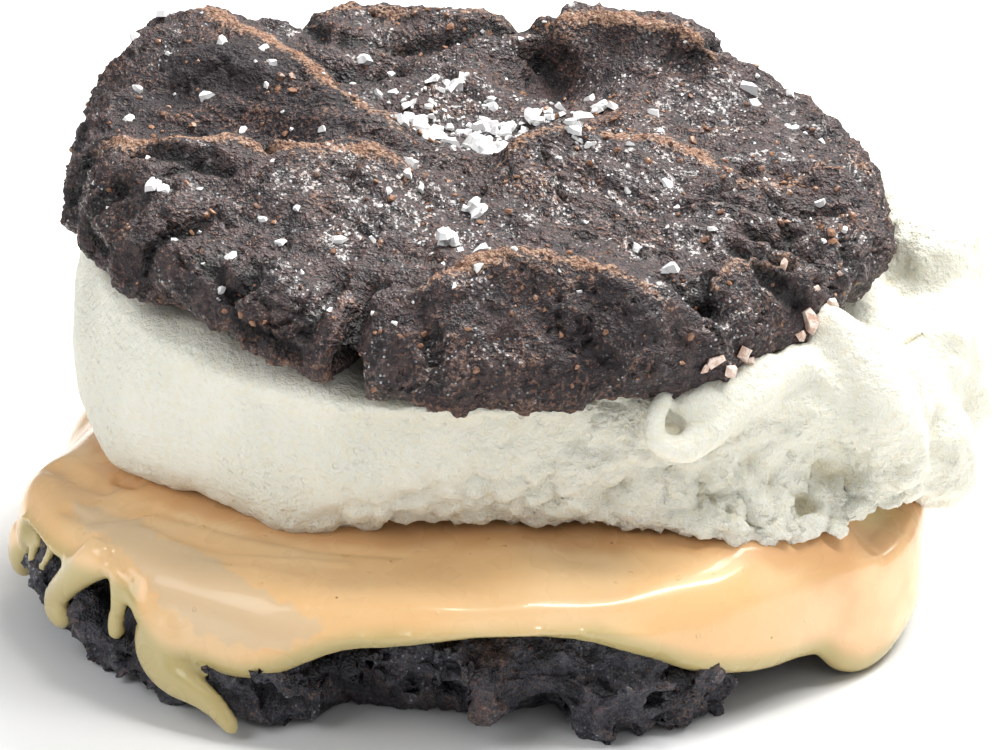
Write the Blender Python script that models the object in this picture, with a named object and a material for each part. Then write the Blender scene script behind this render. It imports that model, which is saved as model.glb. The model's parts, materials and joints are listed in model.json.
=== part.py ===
"""Ice cream sandwich: two craggy chocolate cookies, a thick ice cream layer and a draped sauce.

Every layer is one closed body turned round the upright axis of the sandwich. Its profile
changes with the angle, so that rims, drips, bulges and folds follow from named sizes.
Sizes are in millimetres and angles in degrees: -90 is the front and 0 the right.
"""
import math

import bmesh
import bpy

MM = 0.001
GAP = 0.3                    # clearance between two layers that rest on each other

# Position of the sandwich's axis, so that the whole part is centred on the origin
AXIS_X = -3.3
AXIS_Y = -0.6

# Columns of the turned bodies: fine at the left front, where the sauce runs in strings
COLUMN_STEP = 5.0
FINE_STEP = 3.0
FINE_FROM = -168.0
FINE_TO = -114.0

# Bottom cookie
BASE_THICKNESS = 12.0
BASE_FLAT_RADIUS = 35.0      # the cookie rests on this flat disc
BASE_ROLL = 3.5              # rounding of its rim
BASE_RADIUS = 42.6
# Lobes and bites of the rim: angle, half width in degrees, change of radius
BASE_LOBES = (
    (-149.0, 12.0, 2.2),
    (-137.0, 12.0, 3.6),
    (-124.0, 12.0, 3.2),
    (-110.0, 8.0, 1.0),
    (-95.0, 20.0, -2.0),
    (-67.0, 14.0, 3.2),
    (-46.0, 12.0, -1.6),
    (18.0, 20.0, 1.0),
    (62.0, 24.0, -1.5),
    (100.0, 20.0, 1.4),
    (145.0, 22.0, -1.0),
)
# Stretches where the underside of the rim lifts off the ground: angle, half width, lift
BASE_LIFTS = (
    (-95.0, 24.0, 2.4),
    (-46.0, 14.0, 1.6),
    (70.0, 30.0, 2.0),
)

# Sauce
SAUCE_THICKNESS = 4.0
SAUCE_SKIN = 0.6             # distance of the draped sauce from the cookie's rim
SAUCE_WRAP = 2.8             # thickness of the draped sauce
# Height of the sauce's lower edge round the cookie: angle, height
SAUCE_EDGE = (
    (-180.0, 1.0),
    (-169.0, 2.2),
    (-162.0, 9.6),
    (-140.0, 10.8),
    (-127.0, 4.6),
    (-112.0, 7.6),
    (-97.0, 10.6),
    (-82.0, 11.0),
    (-70.0, 9.2),
    (-58.0, 5.2),
    (-46.0, 3.0),
    (-36.0, 1.2),
    (-8.0, 2.0),
    (28.0, 6.5),
    (60.0, 9.5),
    (92.0, 5.0),
    (118.0, 8.5),
    (150.0, 3.5),
)
# Drips below that edge: angle, half width, depth, and the angle by which the tip leans
SAUCE_DRIPS = (
    (-143.0, 5.0, 7.5, -5.0),
    (-135.0, 3.5, 4.0, 0.0),
    (-126.0, 5.5, 3.4, 1.0),
    (-119.0, 3.6, 6.0, 2.0),
    (75.0, 9.0, 6.0, 2.0),
    (132.0, 6.0, 4.5, -2.0),
)
# Extra reach of the draped sauce past the usual wrap: angle, half width, reach
SAUCE_REACH = (
    (180.0, 30.0, 0.6),
    (-90.0, 26.0, -0.5),
    (-38.0, 12.0, 1.2),
    (-8.0, 26.0, 0.9),
)

# Ice cream: angle, radius of the foot, of the belly and of the top
ICE_RADII = (
    (-180.0, 37.0, 39.1, 37.6),
    (-150.0, 36.0, 39.0, 37.6),
    (-120.0, 33.0, 37.6, 38.0),
    (-90.0, 31.5, 36.4, 37.6),
    (-65.0, 34.0, 37.0, 37.4),
    (-45.0, 39.5, 39.6, 37.6),
    (-28.0, 42.0, 46.0, 40.0),
    (-10.0, 43.0, 51.5, 43.5),
    (8.0, 42.5, 53.4, 47.0),
    (26.0, 41.0, 50.5, 46.5),
    (50.0, 38.5, 43.5, 40.0),
    (95.0, 37.0, 40.0, 38.0),
    (140.0, 36.5, 39.5, 38.0),
)
# Depth by which the ice cream hangs over the edge of the sauce: angle, half width, depth
ICE_SAG = ((-12.0, 24.0, 5.4),)
ICE_SAG_REACH = 49.4         # radius at which the hanging ice cream clears the sauce
# Soft dents in its side: angle, half width in degrees, height, half height, depth
ICE_DENTS = (
    (-158.0, 13.0, 29.0, 7.0, 0.8),
    (-128.0, 15.0, 24.0, 6.0, 0.7),
    (-40.0, 15.0, 25.0, 8.0, 1.8),
    (20.0, 12.0, 25.0, 7.0, 1.6),
    (120.0, 20.0, 26.0, 7.0, 1.0),
)

# Top cookie
SEAT_HEIGHT = 34.0           # height of its underside at the axis
SEAT_SLOPE_X = -0.055        # rise of the underside for each millimetre along X
SEAT_SLOPE_Y = 0.040
TOP_THICKNESS = 9.4          # of the plain disc that the folds stand on
CRUST_ROUNDING = 2.2         # drop of the crust from half way out to the rim
# Rings of the crust, as shares of the rim's radius
CRUST_SHARES = (0.95, 0.89, 0.82, 0.75, 0.68, 0.60, 0.52, 0.43, 0.33, 0.22, 0.11)
# Outline of the rim: angle, radius
TOP_OUTLINE = (
    (-180.0, 39.2),
    (-150.0, 38.9),
    (-120.0, 39.9),
    (-90.0, 41.0),
    (-60.0, 41.5),
    (-30.0, 41.2),
    (-5.0, 42.0),
    (25.0, 42.4),
    (50.0, 41.4),
    (70.0, 39.8),
    (90.0, 39.2),
    (115.0, 40.6),
    (135.0, 43.0),
    (155.0, 41.2),
)
# Lift of the rim's lower edge: angle, half width, lift
TOP_RIM_LIFTS = (
    (-135.0, 40.0, 2.2),
    (-105.0, 5.0, 1.6),
    (-8.0, 34.0, 2.2),
)
# Folds of the crust: start x and y, end x and y, sideways bow, height, front width, back width
TOP_FOLDS = (
    (-27.0, 31.0, -7.0, 6.0, 2.5, 4.6, 11.0, 5.0),
    (-39.0, -7.0, -5.0, -5.0, 2.0, 3.6, 7.0, 2.8),
    (1.0, -3.0, 27.0, -2.0, 6.0, 3.0, 9.0, 7.0),
    (-3.0, -28.0, 22.0, -31.0, 4.0, 1.6, 5.5, 3.0),
    (11.0, 37.0, 24.0, 26.0, 3.0, 3.4, 5.0, 8.0),
    (26.0, -1.0, 42.0, 0.0, 1.5, 1.8, 4.0, 5.0),
    (22.0, -27.0, 39.0, -22.0, 3.0, 1.6, 5.0, 3.0),
    (-14.0, 35.0, 5.0, 34.0, 1.0, 2.0, 9.0, 4.0),
    (-32.0, -20.0, -15.0, -33.0, -1.0, 1.2, 4.0, 4.0),
)
# Hollows of the crust: x, y, half width, depth
TOP_HOLLOWS = (
    (0.0, 12.0, 15.0, 1.6),
    (-22.0, 1.0, 10.0, 1.6),
    (8.5, 27.0, 6.0, 3.2),
    (-11.0, -30.0, 6.0, 1.0),
    (23.0, -30.0, 5.0, 1.4),
)


def clear_scene():
    for item in list(bpy.data.objects):
        bpy.data.objects.remove(item, do_unlink=True)


def make_material(name, colour, roughness):
    material = bpy.data.materials.new(name)
    material.use_nodes = True
    shader = material.node_tree.nodes["Principled BSDF"]
    shader.inputs["Base Color"].default_value = (*colour, 1.0)
    shader.inputs["Roughness"].default_value = roughness
    shader.inputs["Metallic"].default_value = 0.0
    return material


def turn_between(angle, centre):
    """Shortest turn in degrees from centre to angle."""
    return (angle - centre + 180.0) % 360.0 - 180.0


def hump(distance, half_width):
    """Smooth hump: 1 at no distance and 0 from half_width on."""
    if abs(distance) >= half_width:
        return 0.0
    return math.cos(0.5 * math.pi * distance / half_width) ** 2


def humps(features, angle):
    """Sum of the humps of (centre, half width, size) features at an angle."""
    return sum(size * hump(turn_between(angle, centre), width) for centre, width, size in features)


def around(stops, angle, item=1):
    """Smooth value at an angle from stops that go round the sandwich."""
    count = len(stops)
    for index in range(count):
        first = stops[index]
        second = stops[(index + 1) % count]
        span = (second[0] - first[0]) % 360.0
        offset = (angle - first[0]) % 360.0
        if offset <= span:
            share = offset / span
            ease = share * share * (3.0 - 2.0 * share)
            return first[item] + (second[item] - first[item]) * ease
    return stops[0][item]


def column_angles():
    """Angles of the columns, closer together at the left front."""
    angles = []
    angle = -180.0
    while angle < 180.0 - 1e-6:
        angles.append(angle)
        fine = FINE_FROM <= angle < FINE_TO
        angle += FINE_STEP if fine else COLUMN_STEP
    return angles


def place(radius, angle, height):
    """Point in metres at a radius and an angle round the sandwich's axis."""
    turn = math.radians(angle)
    x = AXIS_X + radius * math.cos(turn)
    y = AXIS_Y + radius * math.sin(turn)
    return (x * MM, y * MM, height * MM)


def turned_body(name, profile, material):
    """Closed body from profile(angle): points (radius, height, lean) from lower to upper pole."""
    mesh = bmesh.new()
    angles = column_angles()
    profiles = [profile(angle) for angle in angles]
    low_pole = mesh.verts.new(place(0.0, 0.0, profiles[0][0][1]))
    top_pole = mesh.verts.new(place(0.0, 0.0, profiles[0][-1][1]))
    rings = []
    for row in range(1, len(profiles[0]) - 1):
        ring = []
        for angle, points in zip(angles, profiles):
            radius, height, lean = points[row]
            ring.append(mesh.verts.new(place(radius, angle + lean, height)))
        rings.append(ring)
    count = len(angles)
    for column in range(count):
        after = (column + 1) % count
        mesh.faces.new((low_pole, rings[0][after], rings[0][column]))
        for lower, upper in zip(rings, rings[1:]):
            mesh.faces.new((lower[column], lower[after], upper[after], upper[column]))
        mesh.faces.new((top_pole, rings[-1][column], rings[-1][after]))
    bmesh.ops.triangulate(mesh, faces=[face for face in mesh.faces if len(face.verts) == 4])
    return finish_body(name, mesh, material)


def finish_body(name, mesh, material):
    data = bpy.data.meshes.new(name)
    mesh.to_mesh(data)
    mesh.free()
    data.materials.append(material)
    data.shade_smooth()
    body = bpy.data.objects.new(name, data)
    bpy.context.scene.collection.objects.link(body)
    return body


def plain(points):
    """Profile points that stand straight above each other, without any lean."""
    return [(radius, height, 0.0) for radius, height in points]


def base_radius(angle):
    return BASE_RADIUS + humps(BASE_LOBES, angle)


def base_cookie_profile(angle):
    """Flat base disc, a rim that swells and lifts unevenly, and a flat top under the sauce."""
    radius = base_radius(angle)
    lift = humps(BASE_LIFTS, angle)
    top = BASE_THICKNESS
    shoulder = radius - BASE_ROLL
    points = [
        (0.0, 0.0),
        (0.5 * BASE_FLAT_RADIUS, 0.0),
        (BASE_FLAT_RADIUS, 0.0),
        (radius - 1.5, 0.8 * lift + 0.3),
        (radius - 0.2, lift + 1.5),
        (radius, 0.5 * (top + lift)),
        (radius - 0.3, 0.5 * (top + lift) + 1.8),
        (radius - 1.2, top - 1.3),
        (shoulder, top),
        (0.62 * shoulder, top),
        (0.3 * shoulder, top),
        (0.0, top),
    ]
    return plain(points)


def sauce_profile(angle):
    """Flat layer on the cookie whose edge drapes over the rim and ends in drips."""
    inner = base_radius(angle) + SAUCE_SKIN
    outer = inner + SAUCE_WRAP + humps(SAUCE_REACH, angle)
    under = BASE_THICKNESS + GAP
    level = under + SAUCE_THICKNESS
    brim = around(SAUCE_EDGE, angle)
    depth = 0.0
    lean = 0.0
    for centre, width, drop, tip_lean in SAUCE_DRIPS:
        share = hump(turn_between(angle, centre), width)
        depth += drop * share
        lean += tip_lean * share
    edge = max(0.4, brim - depth)
    foot = around(ICE_RADII, angle, 1)
    sag = humps(ICE_SAG, angle)
    middle = 0.5 * (under + edge)
    return [
        (0.0, under, 0.0),
        (14.0, under, 0.0),
        (28.0, under, 0.0),
        (inner - 3.0, under, 0.0),
        (inner, under - 0.2, 0.0),
        (inner, middle, 0.5 * lean),
        (inner + 0.3, edge + 0.5, lean),
        (inner + 0.45 * (outer - inner), edge, lean),
        (outer - 0.3, edge + 0.9, lean),
        (outer, middle + 0.6, 0.5 * lean),
        (outer - 0.3, under - 0.4, 0.0),
        (outer - 1.4, under + 1.4, 0.0),
        (0.5 * (outer - 1.4 + foot), level - 1.0 - 0.3 * sag, 0.0),
        (foot + 0.6 - 0.8 * min(2.0, sag), level, 0.0),
        (28.0, level, 0.0),
        (14.0, level, 0.0),
        (0.0, level, 0.0),
    ]


def seat_height(radius, angle):
    """Height of the top cookie's underside."""
    turn = math.radians(angle)
    x = radius * math.cos(turn)
    y = radius * math.sin(turn)
    return SEAT_HEIGHT + SEAT_SLOPE_X * x + SEAT_SLOPE_Y * y


def dented(radius, angle, height):
    for centre, width, middle, half_height, depth in ICE_DENTS:
        share = hump(turn_between(angle, centre), width) * hump(height - middle, half_height)
        radius -= depth * share
    return radius


def ice_cream_profile(angle):
    """Scooped layer: narrow foot, full belly, and a bulge that hangs over on the right."""
    foot = around(ICE_RADII, angle, 1)
    belly = around(ICE_RADII, angle, 2)
    top = around(ICE_RADII, angle, 3)
    floor = BASE_THICKNESS + SAUCE_THICKNESS + 2.0 * GAP
    sag = humps(ICE_SAG, angle)
    sagging = min(1.0, sag / 1.5)
    skirt = foot + 1.4 + sagging * (ICE_SAG_REACH - foot - 1.4)
    side = [
        (skirt, floor + 1.4 - 1.1 * sag),
        (skirt + 0.55 * (belly - skirt), floor + 3.2 - 0.9 * sag),
        (skirt + 0.9 * (belly - skirt), floor + 6.6 - 0.5 * sag),
        (belly, floor + 10.5),
        (0.65 * belly + 0.35 * top, floor + 13.8),
    ]
    points = [
        (0.0, floor),
        (14.0, floor),
        (28.0, floor),
        (foot, floor),
    ]
    points += [(dented(radius, angle, height), height) for radius, height in side]
    under_rim = 37.0
    points += [
        (max(top, under_rim + 0.5), seat_height(top, angle) - GAP - 0.9),
        (under_rim, seat_height(under_rim, angle) - GAP),
        (28.0, seat_height(28.0, angle) - GAP),
        (14.0, seat_height(14.0, angle) - GAP),
        (0.0, SEAT_HEIGHT - GAP),
    ]
    return plain(points)


def fold_height(x, y):
    """Height that the folds and hollows add to the top cookie at a point."""
    total = 0.0
    for x0, y0, x1, y1, bow, height, front, back in TOP_FOLDS:
        length = math.hypot(x1 - x0, y1 - y0)
        along = ((x - x0) * (x1 - x0) + (y - y0) * (y1 - y0)) / length ** 2
        across = ((y - y0) * (x1 - x0) - (x - x0) * (y1 - y0)) / length
        across -= bow * max(0.0, 4.0 * along * (1.0 - along))
        width = back if across > 0.0 else front
        ends = hump(max(0.0, abs(along - 0.5) - 0.32), 0.36)
        total += height * ends * math.exp(-(across / width) ** 2)
    for centre_x, centre_y, width, depth in TOP_HOLLOWS:
        total -= depth * math.exp(-((x - centre_x) ** 2 + (y - centre_y) ** 2) / width ** 2)
    return total


def top_cookie_profile(angle):
    """Flat seat, a thick rounded rim and a folded crust that rises towards the back."""
    radius = around(TOP_OUTLINE, angle)
    lift = humps(TOP_RIM_LIFTS, angle)
    turn = math.radians(angle)

    def crust(share):
        reach = share * radius
        fold = fold_height(reach * math.cos(turn), reach * math.sin(turn))
        round_off = CRUST_ROUNDING * max(0.0, 2.0 * share - 1.0) ** 2
        return (reach, seat_height(reach, angle) + TOP_THICKNESS + fold - round_off)

    low = seat_height(radius, angle)
    high = crust(CRUST_SHARES[0])[1]
    points = [
        (0.0, SEAT_HEIGHT),
        (14.0, seat_height(14.0, angle)),
        (28.0, seat_height(28.0, angle)),
        (37.0, seat_height(37.0, angle)),
        (radius - 1.2, low + 0.4 * lift - 0.2),
        (radius - 0.3, low + lift + 1.2),
        (radius, low + 0.4 * (high - low) + 0.4 * lift),
        (radius - 0.6, low + 0.72 * (high - low)),
    ]
    points += [crust(share) for share in CRUST_SHARES]
    points.append((0.0, crust(0.0)[1]))
    return plain(points)


def main():
    clear_scene()
    dark_cookie = make_material("base_cookie_crust", (0.020, 0.018, 0.022), 0.75)
    cocoa_cookie = make_material("top_cookie_crust", (0.045, 0.028, 0.028), 0.75)
    caramel = make_material("caramel_sauce", (0.72, 0.45, 0.21), 0.25)
    vanilla = make_material("vanilla_ice_cream", (0.84, 0.83, 0.74), 0.55)
    turned_body("bottom_cookie", base_cookie_profile, dark_cookie)
    turned_body("sauce", sauce_profile, caramel)
    turned_body("ice_cream", ice_cream_profile, vanilla)
    turned_body("top_cookie", top_cookie_profile, cocoa_cookie)


main()
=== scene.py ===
import json
import math

import bmesh
import bpy
import numpy as np
from mathutils import Matrix, Vector
from mathutils.bvhtree import BVHTree

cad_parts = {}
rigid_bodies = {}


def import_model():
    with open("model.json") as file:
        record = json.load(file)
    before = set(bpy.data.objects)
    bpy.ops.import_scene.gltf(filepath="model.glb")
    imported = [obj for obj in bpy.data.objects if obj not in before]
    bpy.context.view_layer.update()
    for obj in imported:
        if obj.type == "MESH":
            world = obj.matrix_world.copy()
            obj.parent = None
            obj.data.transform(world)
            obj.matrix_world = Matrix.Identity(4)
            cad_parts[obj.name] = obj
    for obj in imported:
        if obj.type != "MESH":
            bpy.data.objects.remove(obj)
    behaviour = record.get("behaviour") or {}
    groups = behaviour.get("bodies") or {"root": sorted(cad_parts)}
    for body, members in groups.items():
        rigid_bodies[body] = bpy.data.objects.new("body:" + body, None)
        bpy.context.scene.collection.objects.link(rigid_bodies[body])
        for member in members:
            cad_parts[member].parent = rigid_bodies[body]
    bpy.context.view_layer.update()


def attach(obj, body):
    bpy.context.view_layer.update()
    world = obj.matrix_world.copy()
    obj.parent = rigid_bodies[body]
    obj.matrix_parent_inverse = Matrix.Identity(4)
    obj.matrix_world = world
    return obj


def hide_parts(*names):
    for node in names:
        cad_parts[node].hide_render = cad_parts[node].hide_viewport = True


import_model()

# Lengths are in millimetres and angles in degrees: -90 is the front and 0 the right
mm = 0.001
axisX = -3.3
axisY = -0.6


def turnFrom(angle, centre):
    return (angle - centre + 180.0) % 360.0 - 180.0


def hump(distance, halfWidth):
    near = np.clip(np.abs(distance) / halfWidth, 0.0, 1.0)
    return np.cos(0.5 * math.pi * near) ** 2


def humps(features, angle):
    total = np.zeros_like(angle)
    for centre, width, size in features:
        total += size * hump(turnFrom(angle, centre), width)
    return total


def through(places, values, at):
    # smooth curve through values at places, read at the points of at
    slopes = np.gradient(values, places, axis=0)
    index = np.clip(np.searchsorted(places, at, side="right") - 1, 0, len(places) - 2)
    span = places[index + 1] - places[index]
    t = (at - places[index]) / span
    if values.ndim > 1:
        t = t[:, None]
        span = span[:, None]
    start = (2.0 * t - 3.0) * t * t + 1.0
    startSlope = ((t - 2.0) * t + 1.0) * t * span
    endSlope = (t - 1.0) * t * t * span
    return (start * values[index] + (1.0 - start) * values[index + 1]
            + startSlope * slopes[index] + endSlope * slopes[index + 1])


def around(stops, angle, item=1):
    # smooth value at an angle from stops that go once round
    table = np.array(stops)
    places = np.concatenate([table[-2:, 0] - 360.0, table[:, 0], table[:3, 0] + 360.0])
    values = np.concatenate([table[-2:, item], table[:, item], table[:3, item]])
    return through(places, values, (angle + 180.0) % 360.0 - 180.0)


def waves(points, size, seed, count=22):
    # smooth unevenness of about 1 either way, with bumps of a given size
    dice = np.random.default_rng(seed)
    ways = dice.normal(size=(count, 3))
    ways *= (2.0 * math.pi / size * dice.uniform(0.6, 1.5, count) / np.linalg.norm(ways, axis=1))[:, None]
    return np.cos(points @ ways.T + dice.uniform(0.0, 6.28, count)).sum(axis=1) / math.sqrt(count / 2.0)


def smoothStep(low, high, value):
    t = np.clip((value - low) / (high - low), 0.0, 1.0)
    return t * t * (3.0 - 2.0 * t)


def lineDistance(points, path):
    # distance of each point from a path of straight pieces, in two or three dimensions
    best = np.full(len(points), 1e9)
    path = np.array(path, float)
    for start, end in zip(path, path[1:]):
        run = end - start
        share = np.clip((points - start) @ run / (run @ run), 0.0, 1.0)
        best = np.minimum(best, np.linalg.norm(points - start - share[:, None] * run, axis=1))
    return best


def bell(away, width):
    return np.exp(-(away / width) ** 2)


def mound(points, x, y, width):
    return np.exp(-((points[:, 0] - x) ** 2 + (points[:, 1] - y) ** 2) / width ** 2)


def polar(points):
    # distance from the axis and direction of each point
    return np.hypot(points[:, 0], points[:, 1]), np.degrees(np.arctan2(points[:, 1], points[:, 0]))


def ringPoints(turn, radius):
    return np.stack([radius * np.cos(turn), radius * np.sin(turn), 0.0 * turn], axis=1)


def columnAngles(count, front=1.3):
    # angles of the columns, closer together at the front than at the back
    even = np.linspace(-180.0, 180.0, 721)
    density = 1.0 + (front - 1.0) * hump(turnFrom(even, -90.0), 150.0)
    gathered = np.concatenate([[0.0], np.cumsum(0.5 * (density[1:] + density[:-1]))])
    return np.interp(np.arange(count) / count, gathered / gathered[-1], even)


def roundMesh(name, radius, height, angle, lowHeight, topHeight):
    # closed body from rows of columns round the axis, with a point at either pole
    turn = np.radians(angle)
    rows, columns = radius.shape
    grid = np.stack([radius * np.cos(turn), radius * np.sin(turn), height], axis=-1).reshape(-1, 3)
    points = np.concatenate([[[0.0, 0.0, lowHeight]], grid, [[0.0, 0.0, topHeight]]])
    row, column = np.meshgrid(np.arange(rows - 1), np.arange(columns), indexing="ij")
    after = (column + 1) % columns
    quads = np.stack([row * columns + column, row * columns + after,
                      (row + 1) * columns + after, (row + 1) * columns + column], axis=-1)
    quads = quads.reshape(-1, 4) + 1
    ring = np.arange(columns)
    nextRing = (ring + 1) % columns
    lowFan = np.stack([np.zeros(columns, int), nextRing + 1, ring + 1], axis=-1)
    last = (rows - 1) * columns + 1
    topFan = np.stack([np.full(columns, len(points) - 1), ring + last, nextRing + last], axis=-1)
    mesh = bpy.data.meshes.new(name)
    mesh.from_pydata(onAxis(points).tolist(), [], quads.tolist() + lowFan.tolist() + topFan.tolist())
    mesh.shade_smooth()
    return addObject(name, mesh)


def onAxis(points):
    # from millimetres round the sandwich's axis to metres in the part's frame
    return (points + np.array([axisX, axisY, 0.0])) * mm


def addObject(name, mesh):
    made = bpy.data.objects.new(name, mesh)
    bpy.context.scene.collection.objects.link(made)
    return made


def readPoints(mesh, layer="co"):
    flat = np.empty(len(mesh.vertices) * 3)
    if layer == "co":
        mesh.vertices.foreach_get("co", flat)
        return flat.reshape(-1, 3) / mm - np.array([axisX, axisY, 0.0])
    mesh.vertices.foreach_get("normal", flat)
    return flat.reshape(-1, 3)


def writePoints(mesh, points):
    mesh.vertices.foreach_set("co", onAxis(points).ravel())
    mesh.update()


def writeLayer(mesh, name, values):
    layer = mesh.attributes.get(name) or mesh.attributes.new(name, "FLOAT", "POINT")
    layer.data.foreach_set("value", values.astype(np.float32))


def hollowness(mesh, rounds):
    # how far each point lies below the smoothed surface round it, in millimetres
    points = readPoints(mesh)
    pairs = np.empty(len(mesh.edges) * 2, int)
    mesh.edges.foreach_get("vertices", pairs)
    first, second = pairs.reshape(-1, 2).T
    links = np.bincount(first, minlength=len(points)) + np.bincount(second, minlength=len(points))
    mean = points.copy()
    for _ in range(rounds):
        total = np.zeros_like(mean)
        for axis in range(3):
            total[:, axis] = np.bincount(first, mean[second, axis], len(points))
            total[:, axis] += np.bincount(second, mean[first, axis], len(points))
        mean = 0.5 * mean + 0.5 * total / np.maximum(links, 1)[:, None]
    return ((mean - points) * readPoints(mesh, "normal")).sum(axis=1)


def readLayer(mesh, name):
    values = np.empty(len(mesh.vertices), np.float32)
    mesh.attributes[name].data.foreach_get("value", values)
    return values


def raiseLayer(mesh, name, values):
    writeLayer(mesh, name, np.maximum(readLayer(mesh, name), values))


def applied(piece):
    # the piece with its modifiers worked into a plain mesh
    graph = bpy.context.evaluated_depsgraph_get()
    view = piece.evaluated_get(graph)
    mesh = bpy.data.meshes.new_from_object(view, preserve_all_data_layers=True, depsgraph=graph)
    piece.modifiers.clear()
    piece.data = mesh
    mesh.name = piece.name
    return piece


class Wire:
    # a socket whose sums read as plain sums
    def __init__(self, maker, socket):
        self.maker = maker
        self.socket = socket

    def sum(self, operation, *others):
        values = dict(enumerate((self,) + others))
        return self.maker.node("ShaderNodeMath", {"operation": operation}, values)

    def __add__(self, other):
        return self.sum("ADD", other)

    def __radd__(self, other):
        return self.sum("ADD", other)

    def __sub__(self, other):
        return self.sum("SUBTRACT", other)

    def __rsub__(self, other):
        return self.maker.node("ShaderNodeMath", {"operation": "SUBTRACT"}, {0: other, 1: self})

    def __mul__(self, other):
        return self.sum("MULTIPLY", other)

    def __rmul__(self, other):
        return self.sum("MULTIPLY", other)

    def __rtruediv__(self, other):
        return self.maker.node("ShaderNodeMath", {"operation": "DIVIDE"}, {0: other, 1: self})

    def __pow__(self, other):
        return self.sum("POWER", other)


class Maker:
    def __init__(self, tree):
        self.tree = tree

    def node(self, kind, settings=None, values=None, output=0):
        made = self.tree.nodes.new(kind)
        for key, value in (settings or {}).items():
            setattr(made, key, value)
        for key, value in (values or {}).items():
            self.feed(made.inputs[key], value)
        return Wire(self, made.outputs[output])

    def feed(self, socket, value):
        if isinstance(value, Wire):
            self.tree.links.new(value.socket, socket)
        else:
            socket.default_value = value

    def noise(self, place, size, detail=4.0, rough=0.55, output="Fac"):
        return self.node("ShaderNodeTexNoise", None,
                         {"Vector": place, "Scale": 1.0 / (size * mm), "Detail": detail,
                          "Roughness": rough}, output)

    def cellsAt(self, place, scale, feature="F1", **more):
        # cells of which scale fit in a metre
        return self.node("ShaderNodeTexVoronoi", {"feature": feature},
                         {"Vector": place, "Scale": scale, **more}, "Distance")

    def cells(self, place, size, feature="F1"):
        return self.cellsAt(place, 1.0 / (size * mm), feature)

    def tonedCells(self, place, size):
        # distance to the middle of the nearest cell, and that cell's own random tone
        near = self.cells(place, size)
        tone = Wire(self, near.socket.node.outputs["Color"])
        return near, self.node("ShaderNodeSeparateColor", None, {"Color": tone})

    def step(self, value, low, high, toLow=0.0, toHigh=1.0):
        return self.node("ShaderNodeMapRange", {"interpolation_type": "SMOOTHSTEP"},
                         {"Value": value, "From Min": low, "From Max": high,
                          "To Min": toLow, "To Max": toHigh})

    def vector(self, operation, *values):
        settings = {"operation": operation}
        if operation == "SCALE":
            return self.node("ShaderNodeVectorMath", settings, {0: values[0], "Scale": values[1]})
        return self.node("ShaderNodeVectorMath", settings, dict(enumerate(values)))

    def wandering(self, place, wander, reach):
        # places shifted up to half of reach by a noise's colour
        off = self.vector("SUBTRACT", wander, (0.5, 0.5, 0.5))
        return self.vector("ADD", place, self.vector("SCALE", off, reach))

    def mix(self, factor, first, second):
        return self.node("ShaderNodeMix", {"data_type": "RGBA", "clamp_factor": True},
                         {0: factor, 6: asColour(first), 7: asColour(second)}, 2)

    def layer(self, name):
        return self.node("ShaderNodeAttribute", {"attribute_name": name}, {}, "Fac")

    def stored(self, name):
        # the same layer, read in a geometry tree
        return self.node("GeometryNodeInputNamedAttribute", {"data_type": "FLOAT"},
                         {"Name": name}, "Attribute")

    def storing(self, geometry, name, value):
        return self.node("GeometryNodeStoreNamedAttribute", {"data_type": "FLOAT", "domain": "POINT"},
                         {"Geometry": geometry, "Name": name, "Value": value})

    def moving(self, geometry, normal, rise):
        return self.node("GeometryNodeSetPosition", None,
                         {"Geometry": geometry, "Offset": self.vector("SCALE", normal, rise)})


def asColour(value):
    return (*value, 1.0) if isinstance(value, tuple) and len(value) == 3 else value


def startMaterial(name, **fixed):
    # principled material with its plain sockets set, its maker and its shader node
    material = bpy.data.materials.new(name)
    material.use_nodes = True
    tree = material.node_tree
    shader = tree.nodes["Principled BSDF"]
    for key, value in fixed.items():
        shader.inputs[key.replace("_", " ")].default_value = value
    maker = Maker(tree)
    place = maker.node("ShaderNodeTexCoord", None, None, "Object")
    return material, maker, shader, place


def addBump(maker, shader, height, distance, strength):
    values = {"Height": height, "Distance": distance * mm, "Strength": strength}
    maker.feed(shader.inputs["Normal"], maker.node("ShaderNodeBump", None, values))


def startRelief(name, sizes):
    # geometry tree with one named size input for each entry of sizes, in metres
    tree = bpy.data.node_groups.new(name, "GeometryNodeTree")
    tree.interface.new_socket("Geometry", in_out="INPUT", socket_type="NodeSocketGeometry")
    tree.interface.new_socket("Geometry", in_out="OUTPUT", socket_type="NodeSocketGeometry")
    for label, value in sizes.items():
        socket = tree.interface.new_socket(label, in_out="INPUT", socket_type="NodeSocketFloat")
        socket.default_value = value
    tree.interface.new_socket("Material", in_out="INPUT", socket_type="NodeSocketMaterial")
    maker = Maker(tree)
    entry = tree.nodes.new("NodeGroupInput")
    return tree, maker, {socket.name: Wire(maker, socket) for socket in entry.outputs if socket.name}


def closeRelief(tree, maker, geometry, material):
    realised = maker.node("GeometryNodeRealizeInstances", None, {"Geometry": geometry})
    dressed = maker.node("GeometryNodeSetMaterial", None, {"Geometry": realised, "Material": material})
    leave = tree.nodes.new("NodeGroupOutput")
    maker.feed(leave.inputs["Geometry"], dressed)


def useTree(piece, tree, values):
    modifier = piece.modifiers.new(tree.name, "NODES")
    modifier.node_group = tree
    for item in tree.interface.items_tree:
        if item.in_out == "INPUT" and item.name in values:
            modifier[item.identifier] = values[item.name]
    return applied(piece)


def settle(piece, node):
    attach(piece, "root")
    if node:
        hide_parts(node)


cookieLook = {
    "dark": (0.019, 0.0135, 0.0165),
    "brown": (0.072, 0.045, 0.045),
    # deep colour is painted shade for cracks, pits and hollows
    "deep": (0.0045, 0.003, 0.0038),
    "tan": (0.36, 0.22, 0.145),
    "crumb": (0.22, 0.105, 0.066),
    # glint colour is a painted highlight
    "glint": (0.60, 0.60, 0.62),
}


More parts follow.
